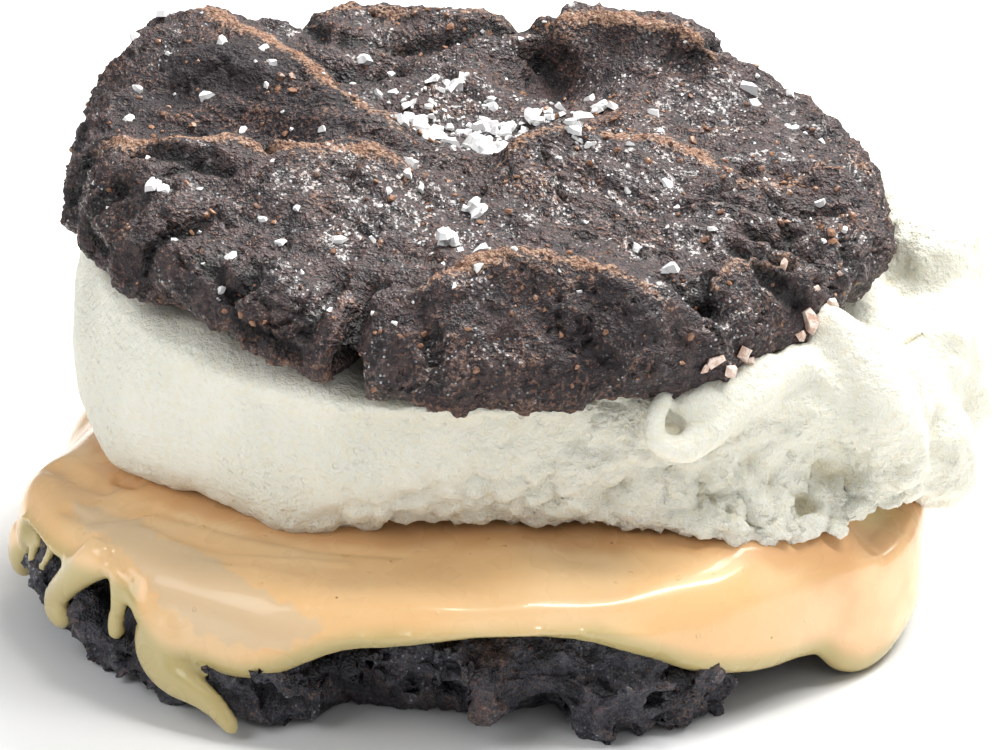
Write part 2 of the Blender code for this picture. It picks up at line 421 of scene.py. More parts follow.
def cookieMaterial(name, look, glints=1.0):
    material, maker, shader, place = startMaterial(name, IOR=1.5, Coat_Roughness=0.16)
    drift = maker.noise(place, 6.5, 2.0)
    crumb = maker.noise(place, 1.7, 3.0, 0.72)
    grain = maker.noise(place, 0.45, 2.0, 0.7)
    pits = maker.cells(place, 0.8)
    seeds, seedTone = maker.tonedCells(place, 1.15)
    spark, sparkTone = maker.tonedCells(place, 0.36)
    crest = maker.layer("crest")
    cavity = maker.layer("cavity")
    gloss = maker.step(maker.noise(place, 5.0, 2.0, 0.6) + maker.layer("sheen"), 0.44, 0.60)
    edge = maker.layer("edge")
    base = maker.mix(maker.step(crumb, 0.38, 0.64), look["dark"], look["brown"])
    # painted shade: dull places are darkened towards the dark colour and made rougher
    dullAndShaded = maker.step(maker.layer("sheen"), -0.02, -0.14)
    base = maker.mix(dullAndShaded * 0.85, base, look["dark"])
    base = maker.mix(maker.step(drift, 0.42, 0.62, 0.0, 0.4), base, look["dark"])
    rusty = maker.step(grain + (drift - 0.5) * 0.5 + edge * 0.09, 0.57, 0.67)
    base = maker.mix(rusty * 0.55, base, look["crumb"])
    nugget = maker.step(seedTone, 0.955, 0.96) * maker.step(seeds + grain * 0.7, 0.66, 0.50)
    base = maker.mix(nugget * 0.6, base, look["crumb"])
    patchy = (grain - 0.5) * 2.2 + (drift - 0.5) * 1.6 + (crumb - 0.5) * 1.2
    dusted = maker.step(crest + patchy + edge * 0.12, 0.48, 1.0, 0.0, 0.95)
    base = maker.mix(dusted, base, maker.mix(maker.step(grain, 0.38, 0.62), look["crumb"], look["tan"]))
    # painted highlight: light grey glint specks in the base colour stand in for sparkles of light off the
    # crust
    glint = maker.step(sparkTone, 0.83, 0.86) * maker.step(spark, 0.44, 0.26) * gloss
    base = maker.mix(glint * (0.85 * glints), base, look["glint"])
    # painted shade: cracks, pits, creases and hollows are darkened towards the deep colour
    base = maker.mix(maker.step(cavity, 0.15, 0.9, 0.0, 0.9), base, look["deep"])
    maker.feed(shader.inputs["Base Color"], base)
    shine = maker.step(grain, 0.46, 0.62)
    maker.feed(shader.inputs["Roughness"], 0.66 - 0.26 * shine + 0.2 * dusted + 0.16 * dullAndShaded)
    maker.feed(shader.inputs["Coat Weight"], glints * 0.75 * shine * gloss * (1.0 - dusted))
    height = crumb * 1.0 + grain * 0.62 + maker.step(pits, 0.0, 0.42) * 0.28 + nugget * 0.4
    addBump(maker, shader, height, 1.0, 1.0)
    return material


def cookieRelief():
    sizes = {"Clod Size": 0.0062, "Clod Depth": 0.0006, "Lump Height": 0.0005, "Crack Size": 0.0056,
             "Crack Depth": 0.0008, "Crack Width": 0.045, "Pit Size": 0.0017, "Pit Depth": 0.0003,
             "Grain Height": 0.0008}
    tree, maker, size = startRelief("cookieRelief", sizes)
    place = maker.node("GeometryNodeInputPosition")
    normal = maker.node("GeometryNodeInputNormal")
    flank = maker.stored("flank")
    crease = maker.stored("crease")
    wander = maker.noise(place, 3.0, 3.0, 0.6, output="Color")
    bent = maker.wandering(place, wander, 4.4 * mm)
    clods = maker.cellsAt(bent, 1.0 / size["Clod Size"], "SMOOTH_F1", Smoothness=0.25)
    edges = maker.cellsAt(bent, 1.0 / size["Crack Size"], "DISTANCE_TO_EDGE")
    pits = maker.cellsAt(bent, 1.0 / size["Pit Size"])
    lumps = maker.noise(place, 3.6, 5.0, 0.62)
    grain = maker.noise(place, 1.2, 4.0, 0.75)
    where = maker.noise(place, 8.0, 2.0)
    broken = maker.step(maker.noise(place, 4.0, 2.0), 0.50, 0.60)
    crack = (1.0 - maker.step(edges, 0.0, size["Crack Width"])) * broken
    pit = (1.0 - maker.step(pits, 0.12, 0.42)) * maker.step(where, 0.45, 0.62)
    rise = (lumps - 0.5) * size["Lump Height"] * 2.0 + (grain - 0.5) * size["Grain Height"] * (1.4 + flank)
    rise = rise - clods * clods * size["Clod Depth"] * (0.25 + flank) - crack * size["Crack Depth"]
    moved = maker.moving(size["Geometry"], normal, rise - pit * size["Pit Depth"])
    # cracks, pits and creases are marked to be painted darker as shade
    marked = maker.storing(moved, "cavity", crease + crack * 0.8 + pit * 0.45)
    closeRelief(tree, maker, marked, size["Material"])
    return tree


def restOnFloor(mesh):
    points = readPoints(mesh)
    points[:, 2] = np.maximum(points[:, 2], 0.0)
    writePoints(mesh, points)


def shadeCookie(mesh):
    # paints shade into what lies deep by darkening it, and dusts what stands out
    fine = hollowness(mesh, 10)
    broad = hollowness(mesh, 60)
    deep = 0.5 * smoothStep(0.12, 0.55, fine) + 0.5 * smoothStep(0.3, 1.2, broad)
    raiseLayer(mesh, "cavity", deep)
    writeLayer(mesh, "edge", 0.6 * smoothStep(0.08, 0.4, -fine) + 0.5 * smoothStep(0.2, 0.9, -broad))


def rolledOut(creases, scale):
    # grooves given by angle and height, as places on a rim that is rolled out flat
    flat = []
    for path, width, depth in creases:
        flat.append(([(angle * scale, height) for angle, height in path], width, depth))
    return flat


def sinkCreases(points, normals, chart, creases, where):
    # presses thin grooves into the surface; a chart gives each point's place for the groove's path
    crease = np.zeros(len(points))
    for path, width, depth in creases:
        away = lineDistance(chart, path)
        groove = bell(away, width) * where
        points -= normals * (groove * depth)[:, None]
        crease = np.maximum(crease, groove * min(1.0, depth / 1.6))
    return crease


topCookie = {
    "columns": 620,
    "seatHeight": 34.0, "seatSlopeX": -0.055, "seatSlopeY": 0.040,
    "thickness": 9.0, "dome": 0.5,
    # millimetres of rim to a degree, where its grooves are drawn as if it were rolled out flat
    "perDegree": 0.72,
    # angle, radius of the rim, reach of its rounding
    "outline": (
        (-180.0, 39.4, 4.5), (-158.0, 39.3, 5.0), (-140.0, 39.4, 9.0), (-120.0, 40.2, 11.5),
        (-104.0, 40.6, 12.0), (-90.0, 41.2, 13.5), (-75.0, 41.5, 13.5), (-60.0, 41.5, 11.5),
        (-45.0, 41.3, 11.0), (-30.0, 41.4, 9.0), (-15.0, 42.0, 6.5), (0.0, 42.0, 5.0),
        (22.0, 42.6, 5.0), (42.0, 43.0, 5.5), (60.0, 42.0, 6.0), (76.0, 40.4, 5.0),
        (92.0, 40.2, 5.0), (112.0, 41.5, 4.5), (132.0, 44.6, 4.5), (150.0, 42.4, 4.5),
        (166.0, 40.2, 4.5),
    ),
    # where the lower edge lifts: angle, half width, lift
    "lifts": ((-135.0, 40.0, 2.6), (-106.0, 4.0, 1.8), (-8.0, 34.0, 2.2), (100.0, 30.0, 1.0)),
    # start x and y, end x and y, bow, height, front width, back width, lean
    "folds": (
        (-29.0, 31.0, -5.0, -3.0, 0.5, 4.6, 12.0, 3.2, 0.3),
        (-40.0, -7.0, -4.0, -9.0, -2.2, 3.6, 9.0, 2.6, -0.2),
        (3.0, -6.0, 26.0, -7.0, 5.0, 3.0, 9.0, 4.0, -0.2),
        (-5.0, -34.5, 22.0, -36.0, 4.6, 3.2, 6.0, 3.2, 0.3),
        (7.0, 31.5, 27.0, 22.5, 2.5, 4.4, 3.4, 8.0, 0.3),
        (25.0, -12.0, 42.0, 1.5, 1.0, 2.0, 3.0, 3.6, 0.0),
        (22.0, -30.0, 39.0, -23.0, 3.6, 2.2, 4.6, 2.0, 0.3),
        (-15.0, 35.0, 5.0, 34.0, 1.0, 2.2, 8.0, 4.0, 0.2),
        (-34.0, -20.0, -16.0, -33.0, -1.0, 1.6, 4.0, 3.0, 0.3),
        (23.0, -15.0, 39.0, -16.0, 1.0, 1.1, 4.0, 1.6, 0.0),
        (16.0, 10.0, 33.0, 5.0, 1.0, 1.0, 5.0, 4.0, 0.0),
    ),
    # x, y, half width, depth
    "hollows": (
        (1.0, 13.0, 13.0, 2.2), (-23.0, -1.0, 7.5, 2.8), (9.0, 25.0, 4.6, 3.6),
        (-11.0, -30.0, 5.0, 1.2), (22.5, -30.5, 3.0, 1.0), (-14.0, 24.0, 8.0, 1.2),
        (29.0, -4.0, 3.0, 1.0), (-5.0, -16.0, 8.0, 0.8), (26.0, 14.0, 7.0, 1.0),
    ),
    # grooves seen from above: path of x and y, width, depth
    "crustCreases": (
        (((-27.0, -4.0), (-22.0, -6.5), (-18.5, -10.5)), 0.5, 1.2),
        (((-31.0, -11.3), (-26.5, -12.6), (-22.5, -14.0)), 0.9, 1.4),
        (((-10.0, -21.5), (-5.5, -24.5), (-1.5, -28.5)), 0.5, 0.9),
        (((-13.0, -18.5), (-7.5, -22.5), (-2.5, -26.0)), 0.45, 0.8),
        (((-8.0, -24.5), (-4.0, -28.0)), 0.4, 0.7),
        (((10.5, -18.6), (14.5, -18.2), (18.0, -16.4)), 0.5, 1.0),
        (((27.6, -2.4), (27.9, -5.0), (27.2, -7.5)), 0.8, 1.6),
        (((26.0, -9.4), (31.0, -9.8), (36.5, -9.2)), 0.6, 1.1),
        (((30.2, -20.5), (30.8, -16.5)), 0.9, 1.8),
        (((21.5, -31.0), (21.8, -28.6)), 0.8, 1.5),
        (((-18.0, 23.0), (-12.0, 22.0), (-7.5, 23.5)), 1.2, 1.6),
        (((-13.0, 27.5), (-3.0, 29.0), (4.5, 31.0)), 1.0, 1.3),
        (((-2.5, 22.0), (2.0, 17.0)), 0.7, 0.9),
        (((5.0, 36.0), (6.5, 31.0), (9.0, 27.0)), 1.1, 1.2),
        (((20.0, -13.0), (27.0, -14.5), (33.0, -14.0)), 0.5, 0.9),
    ),
    # shiny places, given a coat and painted glints, and dull places, made rougher and painted darker as
    # shade: x, y, z, half width, change
    "sheen": (
        (-3.7, -17.0, 44.0, 7.0, 0.12), (12.0, -5.0, 46.0, 9.0, 0.07), (16.0, 8.0, 43.0, 8.0, 0.07),
        (18.0, -14.0, 44.0, 8.0, 0.07), (25.0, -31.0, 42.0, 5.0, 0.1), (1.0, 7.0, 43.0, 7.0, 0.05),
        (2.0, -40.0, 40.0, 5.0, 0.14), (-26.0, 10.0, 47.0, 10.0, -0.22), (-18.0, 1.0, 46.0, 8.0, -0.18),
        (11.0, -39.0, 40.0, 9.0, -0.14), (-20.0, -36.0, 40.0, 9.0, -0.06), (-34.0, -22.0, 40.0, 7.0, -0.08),
    ),
    # grooves of the rim's face: path of angle and height, width, depth
    "faceCreases": (
        (((-105.0, 46.0), (-106.0, 42.5), (-105.0, 39.0), (-105.5, 34.0)), 1.0, 3.4),
        (((-140.0, 47.5), (-139.5, 44.0), (-141.0, 39.5)), 1.0, 1.7),
        (((-133.0, 44.0), (-127.0, 42.5), (-123.0, 40.0), (-117.0, 37.8), (-113.0, 36.4)), 0.8, 1.3),
        (((-123.5, 44.8), (-121.0, 43.0), (-123.5, 41.5)), 0.8, 1.5),
        (((-113.5, 44.0), (-111.0, 41.5), (-112.5, 38.5)), 0.7, 1.3),
        (((-79.5, 40.0), (-73.0, 38.0), (-66.0, 34.3)), 0.6, 0.5),
        (((-61.0, 46.5), (-60.2, 44.8), (-57.8, 42.5), (-53.5, 39.5)), 0.8, 1.7),
        (((-60.0, 47.3), (-54.0, 47.0), (-47.5, 45.8), (-42.0, 43.6), (-38.0, 41.0)), 0.7, 1.4),
        (((-45.0, 46.4), (-39.5, 45.0), (-35.0, 42.8), (-30.5, 39.5)), 0.7, 1.5),
        (((-42.5, 41.0), (-38.5, 37.0)), 1.3, 1.6),
        (((-24.0, 45.0), (-21.0, 41.5), (-24.0, 38.0)), 1.0, 1.4),
        (((-155.0, 45.0), (-157.5, 41.5), (-154.0, 38.5)), 1.0, 1.3),
        (((-168.0, 44.0), (-170.0, 40.0)), 1.0, 1.4),
        (((-96.0, 41.0), (-93.0, 37.0), (-94.5, 34.5)), 0.7, 0.8),
        (((150.0, 46.0), (153.0, 41.0)), 1.2, 2.0),
        (((118.0, 47.0), (116.0, 41.5)), 1.0, 1.4),
        (((75.0, 47.0), (77.0, 43.0), (74.0, 39.0)), 1.1, 1.6),
        (((44.0, 46.0), (47.0, 41.0)), 1.0, 1.8),
        (((20.0, 45.0), (17.0, 40.0)), 1.1, 1.6),
    ),
}


def seatHeight(x, y):
    return topCookie["seatHeight"] + topCookie["seatSlopeX"] * x + topCookie["seatSlopeY"] * y


def foldTerms(fold, x, y):
    x0, y0, x1, y1, bow = fold[:5]
    length = math.hypot(x1 - x0, y1 - y0)
    way = ((x1 - x0) / length, (y1 - y0) / length)
    along = ((x - x0) * way[0] + (y - y0) * way[1]) / length
    across = (y - y0) * way[0] - (x - x0) * way[1]
    across = across - bow * np.maximum(0.0, 4.0 * along * (1.0 - along))
    ends = hump(np.maximum(0.0, np.abs(along - 0.5) - 0.32), 0.36)
    return way, across, ends


def makeTopCookie():
    part = topCookie
    angle = columnAngles(part["columns"])
    turn = np.radians(angle)
    rim = ringPoints(turn, 40.0)
    radius = around(part["outline"], angle) + 0.35 * waves(rim, 11.0, 3) + 0.22 * waves(rim, 4.0, 4)
    rounding = around(part["outline"], angle, 2)
    lift = humps(part["lifts"], angle) + 0.25 * waves(rim, 9.0, 5) + 0.15 * waves(rim, 3.0, 6)

    def seat(reach):
        return seatHeight(reach * np.cos(turn), reach * np.sin(turn))

    def plainCrust(reach):
        return seat(reach) + part["thickness"] + part["dome"] * (1.0 - (reach / radius) ** 2)

    low = seat(radius) + lift
    high = plainCrust(radius - rounding)
    middle = low + 0.40 * (high - low)
    reaches = []
    heights = []
    tops = []
    for share in np.linspace(0.08, 1.0, 8):
        reach = share * (radius - 3.2)
        reaches.append(reach)
        heights.append(seat(reach) + 0.8 * lift * share ** 6)
        tops.append(0.0)
    for tilt in np.radians(np.linspace(-84.0, -4.0, 15)):
        reaches.append(radius - 2.8 * (1.0 - math.cos(tilt)))
        heights.append(middle + (middle - low) * math.sin(tilt))
        tops.append(0.0)
    for tilt in np.radians(np.linspace(2.0, 88.0, 46)):
        reaches.append(radius - rounding * (1.0 - math.cos(tilt)))
        heights.append(middle + (high - middle) * math.sin(tilt))
        tops.append(math.sin(tilt) ** 0.8)
    for share in np.linspace(0.985, 0.02, 70):
        reach = share * (radius - rounding)
        reaches.append(reach)
        heights.append(plainCrust(reach))
        tops.append(1.0)
    radii = np.array(reaches)
    levels = np.array(heights)
    piece = roundMesh("topCookie", radii, levels, angle, part["seatHeight"],
                      part["seatHeight"] + part["thickness"] + part["dome"])
    mesh = piece.data
    points = readPoints(mesh)
    columns = len(angle)
    weight = np.concatenate([[0.0], np.repeat(tops, columns), [1.0]])
    crest = np.zeros(len(points))
    rise = np.zeros(len(points))
    shift = np.zeros((len(points), 2))
    for fold in part["folds"]:
        way, across, ends = foldTerms(fold, points[:, 0], points[:, 1])
        height, front, back, lean = fold[5:]
        shape = np.exp(-(across / np.where(across > 0.0, back, front)) ** 2) * ends
        rise += height * shape
        shift += (lean * height * shape)[:, None] * np.array([way[1], -way[0]])
        crest = np.maximum(crest, ends * np.exp(-((across + 0.4) / 1.25) ** 2) * min(1.0, height / 2.6))
    for x, y, width, depth in part["hollows"]:
        rise -= depth * mound(points, x, y, width)
    points[:, 2] += rise * weight
    points[:, :2] += shift * weight[:, None]
    writePoints(mesh, points)
    normals = readPoints(mesh, "normal")
    points += normals * (0.34 * waves(points, 13.0, 11) + 0.22 * waves(points, 6.0, 12))[:, None]
    reach, bearing = polar(points)
    chart = np.stack([bearing * part["perDegree"], points[:, 2]], axis=1)
    face = smoothStep(30.0, 34.0, reach) * (points[:, 2] > seatHeight(points[:, 0], points[:, 1]) + 0.3)
    crease = sinkCreases(points, normals, chart, rolledOut(part["faceCreases"], part["perDegree"]), face)
    above = smoothStep(0.25, 0.6, normals[:, 2])
    seen = points[:, :2].copy()
    crease = np.maximum(crease, sinkCreases(points, normals, seen, part["crustCreases"], above))
    writePoints(mesh, points)
    # shiny places get a coat and painted glints, dull places get painted shade
    sheen = np.zeros(len(points))
    for x, y, z, width, change in part["sheen"]:
        away = np.linalg.norm(points - np.array([x, y, z]), axis=1)
        sheen += change * bell(away, width)
    writeLayer(mesh, "sheen", sheen)
    writeLayer(mesh, "crest", crest * weight)
    writeLayer(mesh, "crease", crease)
    writeLayer(mesh, "flank", smoothStep(26.0, 38.0, reach))
    return piece


print("cookie shapes")
topPiece = makeTopCookie()
cocoaMaterial = cookieMaterial("cocoaCrust", cookieLook)
cookieTree = cookieRelief()
useTree(topPiece, cookieTree, {"Material": cocoaMaterial})
shadeCookie(topPiece.data)
settle(topPiece, "top_cookie")


baseCookie = {
    "columns": 620,
    "thickness": 12.0, "flat": 36.0,
    "perDegree": 0.74,
    # angle, radius of the widest place
    "outline": (
        (-180.0, 41.0), (-172.0, 42.6), (-165.0, 44.6), (-158.0, 45.5), (-150.0, 45.9), (-143.0, 46.1),
        (-136.0, 46.4), (-128.0, 46.2), (-121.0, 46.0), (-114.0, 44.6), (-108.0, 43.2), (-100.0, 41.2),
        (-92.0, 41.8), (-84.0, 42.6), (-76.0, 44.0), (-69.0, 46.0), (-62.0, 45.8), (-55.0, 44.0),
        (-47.0, 42.2), (-40.0, 41.4), (-30.0, 42.4), (-15.0, 42.2), (0.0, 41.6), (18.0, 43.0),
        (40.0, 42.6), (62.0, 41.5), (80.0, 43.0), (100.0, 44.0), (122.0, 43.0), (145.0, 40.6),
        (163.0, 40.4),
    ),
    # angle, half width, lift of the lower edge
    "lifts": ((-104.0, 7.0, 3.6), (-92.0, 20.0, 2.2), (-46.0, 14.0, 1.8), (-156.0, 8.0, 1.2),
              (70.0, 30.0, 2.0)),
    # grooves of the rim: path of angle and height, width, depth
    "creases": (
        (((-105.0, 11.0), (-106.0, 6.0), (-104.0, 1.0)), 1.6, 2.6),
        (((-118.0, 6.0), (-112.0, 3.0)), 1.0, 1.5),
        (((-80.0, 9.0), (-77.0, 5.0), (-79.0, 2.0)), 0.8, 1.0),
        (((-62.0, 9.0), (-66.0, 4.0)), 0.8, 1.0),
        (((-140.0, 8.0), (-137.0, 3.0)), 1.2, 1.6),
        (((-152.0, 9.0), (-150.0, 5.0), (-153.0, 2.0)), 1.2, 1.6),
    ),
}


sauce = {
    "columns": 460,
    "thickness": 4.0, "wrap": 2.9,
    "perDegree": 0.8,
    "voxel": 0.455, "smoothing": 5, "ironing": 16,
    # angle, outer radius
    "outline": (
        (-180.0, 41.4), (-173.0, 42.4), (-167.0, 44.6), (-161.0, 46.4), (-155.0, 47.0), (-148.0, 47.0),
        (-140.0, 46.6), (-132.0, 46.4), (-122.0, 46.3), (-110.0, 45.9), (-100.0, 45.3), (-90.0, 45.0),
        (-80.0, 45.2), (-70.0, 45.7), (-60.0, 46.2), (-50.0, 46.5), (-43.0, 47.0), (-37.0, 48.2),
        (-29.0, 48.6), (-20.0, 47.8), (-10.0, 46.4), (0.0, 45.6), (20.0, 45.2), (45.0, 45.8),
        (70.0, 44.6), (95.0, 46.0), (120.0, 45.4), (140.0, 43.4), (152.0, 42.2), (166.0, 41.2),
    ),
    # angle, height of the lower edge
    "edge": (
        (-180.0, 4.0), (-172.0, 4.4), (-166.0, 4.6), (-162.0, 5.2), (-159.5, 7.0), (-157.0, 10.4),
        (-152.0, 11.4), (-148.0, 10.6), (-144.5, 10.8), (-141.0, 12.2), (-138.0, 12.4), (-135.0, 12.2),
        (-132.4, 11.6), (-130.6, 8.6), (-128.0, 6.6), (-122.0, 5.6), (-116.4, 5.7), (-112.8, 6.8),
        (-109.4, 8.2), (-104.8, 9.7), (-99.8, 10.4), (-95.0, 11.0), (-86.0, 11.6), (-79.0, 11.4),
        (-74.0, 10.5), (-68.0, 8.5), (-61.2, 6.1), (-55.5, 4.8), (-50.8, 4.1), (-45.8, 3.7),
        (-42.6, 3.2), (-40.2, 1.4), (-38.0, 0.5), (-33.0, 0.4), (-29.5, 1.0), (-24.0, 1.9),
        (-14.0, 2.0), (0.0, 2.6), (28.0, 6.5), (60.0, 9.5), (92.0, 5.0), (118.0, 8.5), (150.0, 4.5),
    ),
    # drop of the shoulder: angle, half width, drop
    "slump": ((176.0, 26.0, 2.4), (-33.0, 16.0, 1.6)),
    # threads and drips: stops of angle, radius, height and half thickness
    "strings": (
        ((-138.6, 45.6, 13.6, 2.2), (-141.4, 46.4, 11.6, 1.8), (-145.0, 46.6, 8.9, 1.55),
         (-147.8, 46.5, 6.6, 1.6), (-147.6, 46.4, 5.5, 1.9), (-145.8, 46.4, 5.2, 1.6)),
        ((-135.2, 45.6, 12.8, 1.5), (-134.6, 46.3, 10.6, 1.05), (-135.0, 46.4, 8.8, 0.9),
         (-135.4, 46.4, 7.4, 1.0), (-135.2, 46.4, 6.7, 1.2)),
        ((-134.2, 46.0, 11.4, 1.1), (-131.8, 46.3, 11.0, 1.0), (-130.0, 46.2, 9.6, 1.4)),
        ((-127.4, 45.0, 9.0, 3.6), (-128.2, 45.5, 6.4, 3.4), (-126.4, 46.2, 4.9, 2.5),
         (-123.2, 46.6, 4.1, 1.75), (-120.4, 46.8, 3.3, 1.4), (-118.4, 47.0, 2.2, 1.2),
         (-117.2, 47.1, 1.3, 1.05)),
        ((-156.0, 45.2, 9.8, 0.8), (-157.4, 45.7, 8.2, 0.65), (-157.0, 45.8, 6.9, 0.75)),
        ((-151.2, 45.4, 10.6, 0.9), (-152.0, 45.9, 9.0, 0.65), (-153.4, 46.0, 7.8, 0.7)),
        ((-164.0, 45.2, 8.0, 2.4), (-163.0, 45.7, 6.0, 2.1), (-162.4, 45.7, 4.9, 1.8)),
        ((74.0, 44.0, 9.0, 2.6), (76.0, 45.0, 5.6, 2.1), (77.0, 45.0, 3.4, 1.9)),
        ((131.0, 43.6, 7.6, 2.2), (130.0, 44.8, 4.4, 1.7), (129.5, 45.0, 2.4, 1.7)),
        ((-36.0, 46.0, 5.0, 3.0), (-35.6, 46.6, 3.4, 2.8), (-35.4, 46.8, 2.6, 2.4)),
    ),
    # pale patch, raised a little, whose colour paints the reflection of a large light: corners of angle and
    # rolled out height
    "skin": (
        (-151.0, 17.4), (-145.0, 18.6), (-140.0, 20.4), (-134.0, 19.4), (-128.0, 19.9), (-123.0, 18.9),
        (-118.0, 17.0), (-113.0, 15.4), (-106.0, 13.0), (-108.6, 11.2), (-113.5, 9.8), (-120.0, 9.4),
        (-127.0, 11.4), (-133.0, 14.4), (-139.0, 15.8), (-146.0, 15.6),
    ),
    # raised folds and grooves seen from above: path of x and y, width, height
    "wrinkles": (
        (((-36.0, -27.0), (-33.0, -27.4), (-30.0, -28.2), (-27.5, -31.0), (-23.0, -34.0), (-17.0, -35.6),
          (-11.0, -36.4)), 0.4, 0.22),
        (((-38.5, -22.0), (-36.0, -25.0), (-33.0, -25.4), (-30.0, -24.4)), 0.6, -0.45),
        (((-30.0, -24.5), (-22.0, -30.0), (-14.0, -33.8), (-6.0, -35.0)), 0.5, -0.22),
        (((-24.7, -34.7), (-20.0, -36.6), (-15.0, -38.6)), 0.4, 0.14),
        (((-40.2, -12.5), (-37.6, -16.5), (-34.6, -19.5)), 1.0, -0.7),
        (((-33.6, -17.6), (-31.8, -19.4)), 0.7, -0.9),
        (((39.0, -25.0), (42.0, -19.0), (44.0, -12.0)), 1.8, -0.9),
    ),
}


def sauceInner(angle):
    return around(sauce["outline"], angle) - sauce["wrap"]


def baseRadius(angle):
    return around(baseCookie["outline"], angle)


def makeBaseCookie():
    part = baseCookie
    angle = columnAngles(part["columns"], 1.5)
    turn = np.radians(angle)
    rim = ringPoints(turn, 42.0)
    radius = baseRadius(angle) + 0.35 * waves(rim, 7.0, 23) + 0.3 * waves(rim, 3.0, 24)
    ragged = 0.35 * waves(rim, 5.0, 25) + 0.2 * waves(rim, 2.4, 26)
    lift = np.clip(humps(part["lifts"], angle) + ragged, 0.0, 9.0)
    top = part["thickness"]
    radii = []
    levels = []
    for share in np.linspace(0.1, 1.0, 8):
        radii.append(share * part["flat"] + 0.0 * angle)
        levels.append(0.0 * angle)
    middle = 0.5 * (top + lift)
    for tilt in np.radians(np.linspace(-88.0, 0.0, 34)):
        radii.append(radius - 2.4 * (1.0 - math.cos(tilt)))
        levels.append(0.25 + middle + (middle - lift) * math.sin(tilt) * 0.98)
    shoulder = np.minimum(radius, sauceInner(angle) - 0.4)
    for tilt in np.radians(np.linspace(3.0, 88.0, 26)):
        share = math.sin(tilt) ** 0.6
        radii.append(radius + (shoulder - radius) * share - 3.2 * (1.0 - math.cos(tilt)))
        levels.append(middle + (top - middle) * math.sin(tilt))
    for share in np.linspace(0.97, 0.05, 14):
        radii.append(share * (shoulder - 3.2))
        levels.append(top + 0.0 * angle)
    piece = roundMesh("bottomCookie", np.array(radii), np.array(levels), angle, 0.0, top)
    mesh = piece.data
    points = readPoints(mesh)
    normals = readPoints(mesh, "normal")
    reach = polar(points)[0]
    flank = smoothStep(36.5, 40.0, reach)
    points += normals * (flank * (0.5 * waves(points, 9.0, 31) + 0.35 * waves(points, 4.0, 32)))[:, None]
    chart = np.stack([polar(points)[1] * part["perDegree"], points[:, 2]], axis=1)
    crease = sinkCreases(points, normals, chart, rolledOut(part["creases"], part["perDegree"]), flank)
    writePoints(mesh, points)
    writeLayer(mesh, "crest", 0.0 * reach)
    writeLayer(mesh, "crease", crease)
    writeLayer(mesh, "flank", flank)
    return piece


basePiece = makeBaseCookie()
# as on the top crust, the deep colour paints shade in hollows and the glint colour paints highlights
darkLook = dict(cookieLook, dark=(0.029, 0.030, 0.040), brown=(0.090, 0.087, 0.104),
                deep=(0.006, 0.006, 0.010), crumb=(0.15, 0.085, 0.07), glint=(0.38, 0.39, 0.44))
blackMaterial = cookieMaterial("darkCrust", darkLook, 0.8)
useTree(basePiece, cookieTree, {"Material": blackMaterial, "Clod Size": 0.0045, "Clod Depth": 0.0012,
                                "Lump Height": 0.0008, "Pit Depth": 0.0007, "Grain Height": 0.0008})
restOnFloor(basePiece.data)
shadeCookie(basePiece.data)
settle(basePiece, "bottom_cookie")


def keyedBody(name, keys, counts, angle):
    # body whose profile runs smoothly through keys, each a pair of radius and height per column
    radii = np.array([key[0] + 0.0 * angle for key in keys])
    levels = np.array([key[1] + 0.0 * angle for key in keys])
    steps = np.hypot(np.diff(radii.mean(axis=1)), np.diff(levels.mean(axis=1)))
    places = np.concatenate([[0.0], np.cumsum(steps)])
    at = [places[0]]
    for start, end, count in zip(places, places[1:], counts):
        at += list(np.linspace(start, end, count + 1)[1:])
    at = np.array(at)
    return roundMesh(name, through(places, radii, at), through(places, levels, at), angle,
                     float(levels[0].mean()), float(levels[-1].mean()))


def spot(angle, radius, height):
    turn = math.radians(angle)
    return Vector((radius * math.cos(turn), radius * math.sin(turn), height))


def addBead(mesh, centre, size, flat=None, level=3):
    # ball, or an ellipsoid with three half widths, in a bmesh counted in millimetres
    made = bmesh.ops.create_icosphere(mesh, subdivisions=level, radius=1.0)
    for vert in made["verts"]:
        scale = flat or (size, size, size)
        vert.co = Vector((vert.co[0] * scale[0], vert.co[1] * scale[1], vert.co[2] * scale[2])) + centre


def addString(mesh, stops, flat=1.0, sides=14, steps=7):
    # thick thread through stops of angle, radius, height and half thickness
    table = np.array([[*spot(a, r, z), size] for a, r, z, size in stops])
    places = np.arange(len(table), dtype=float)
    at = np.linspace(0.0, len(table) - 1.0, (len(table) - 1) * steps + 1)
    line = through(places, table, at)
    addBead(mesh, Vector(line[0, :3]), line[0, 3] * flat, level=2)
    addBead(mesh, Vector(line[-1, :3]), line[-1, 3] * flat, level=2)
    before = None
    for index in range(len(line)):
        centre = Vector(line[index, :3])
        ahead = Vector(line[min(index + 1, len(line) - 1), :3]) - Vector(line[max(index - 1, 0), :3])
        outward = Vector((centre.x, centre.y, 0.0)).normalized()
        side = ahead.cross(outward).normalized()
        across = side.cross(ahead).normalized()
        ring = []
        for step in range(sides):
            turn = 2.0 * math.pi * step / sides
            reach = side * math.cos(turn) + across * (math.sin(turn) * flat)
            ring.append(mesh.verts.new(centre + reach * line[index, 3]))
        if before:
            for step in range(sides):
                after = (step + 1) % sides
                mesh.faces.new((before[step], before[after], ring[after], ring[step]))
        else:
            mesh.faces.new(ring[::-1])
        before = ring
    mesh.faces.new(before)


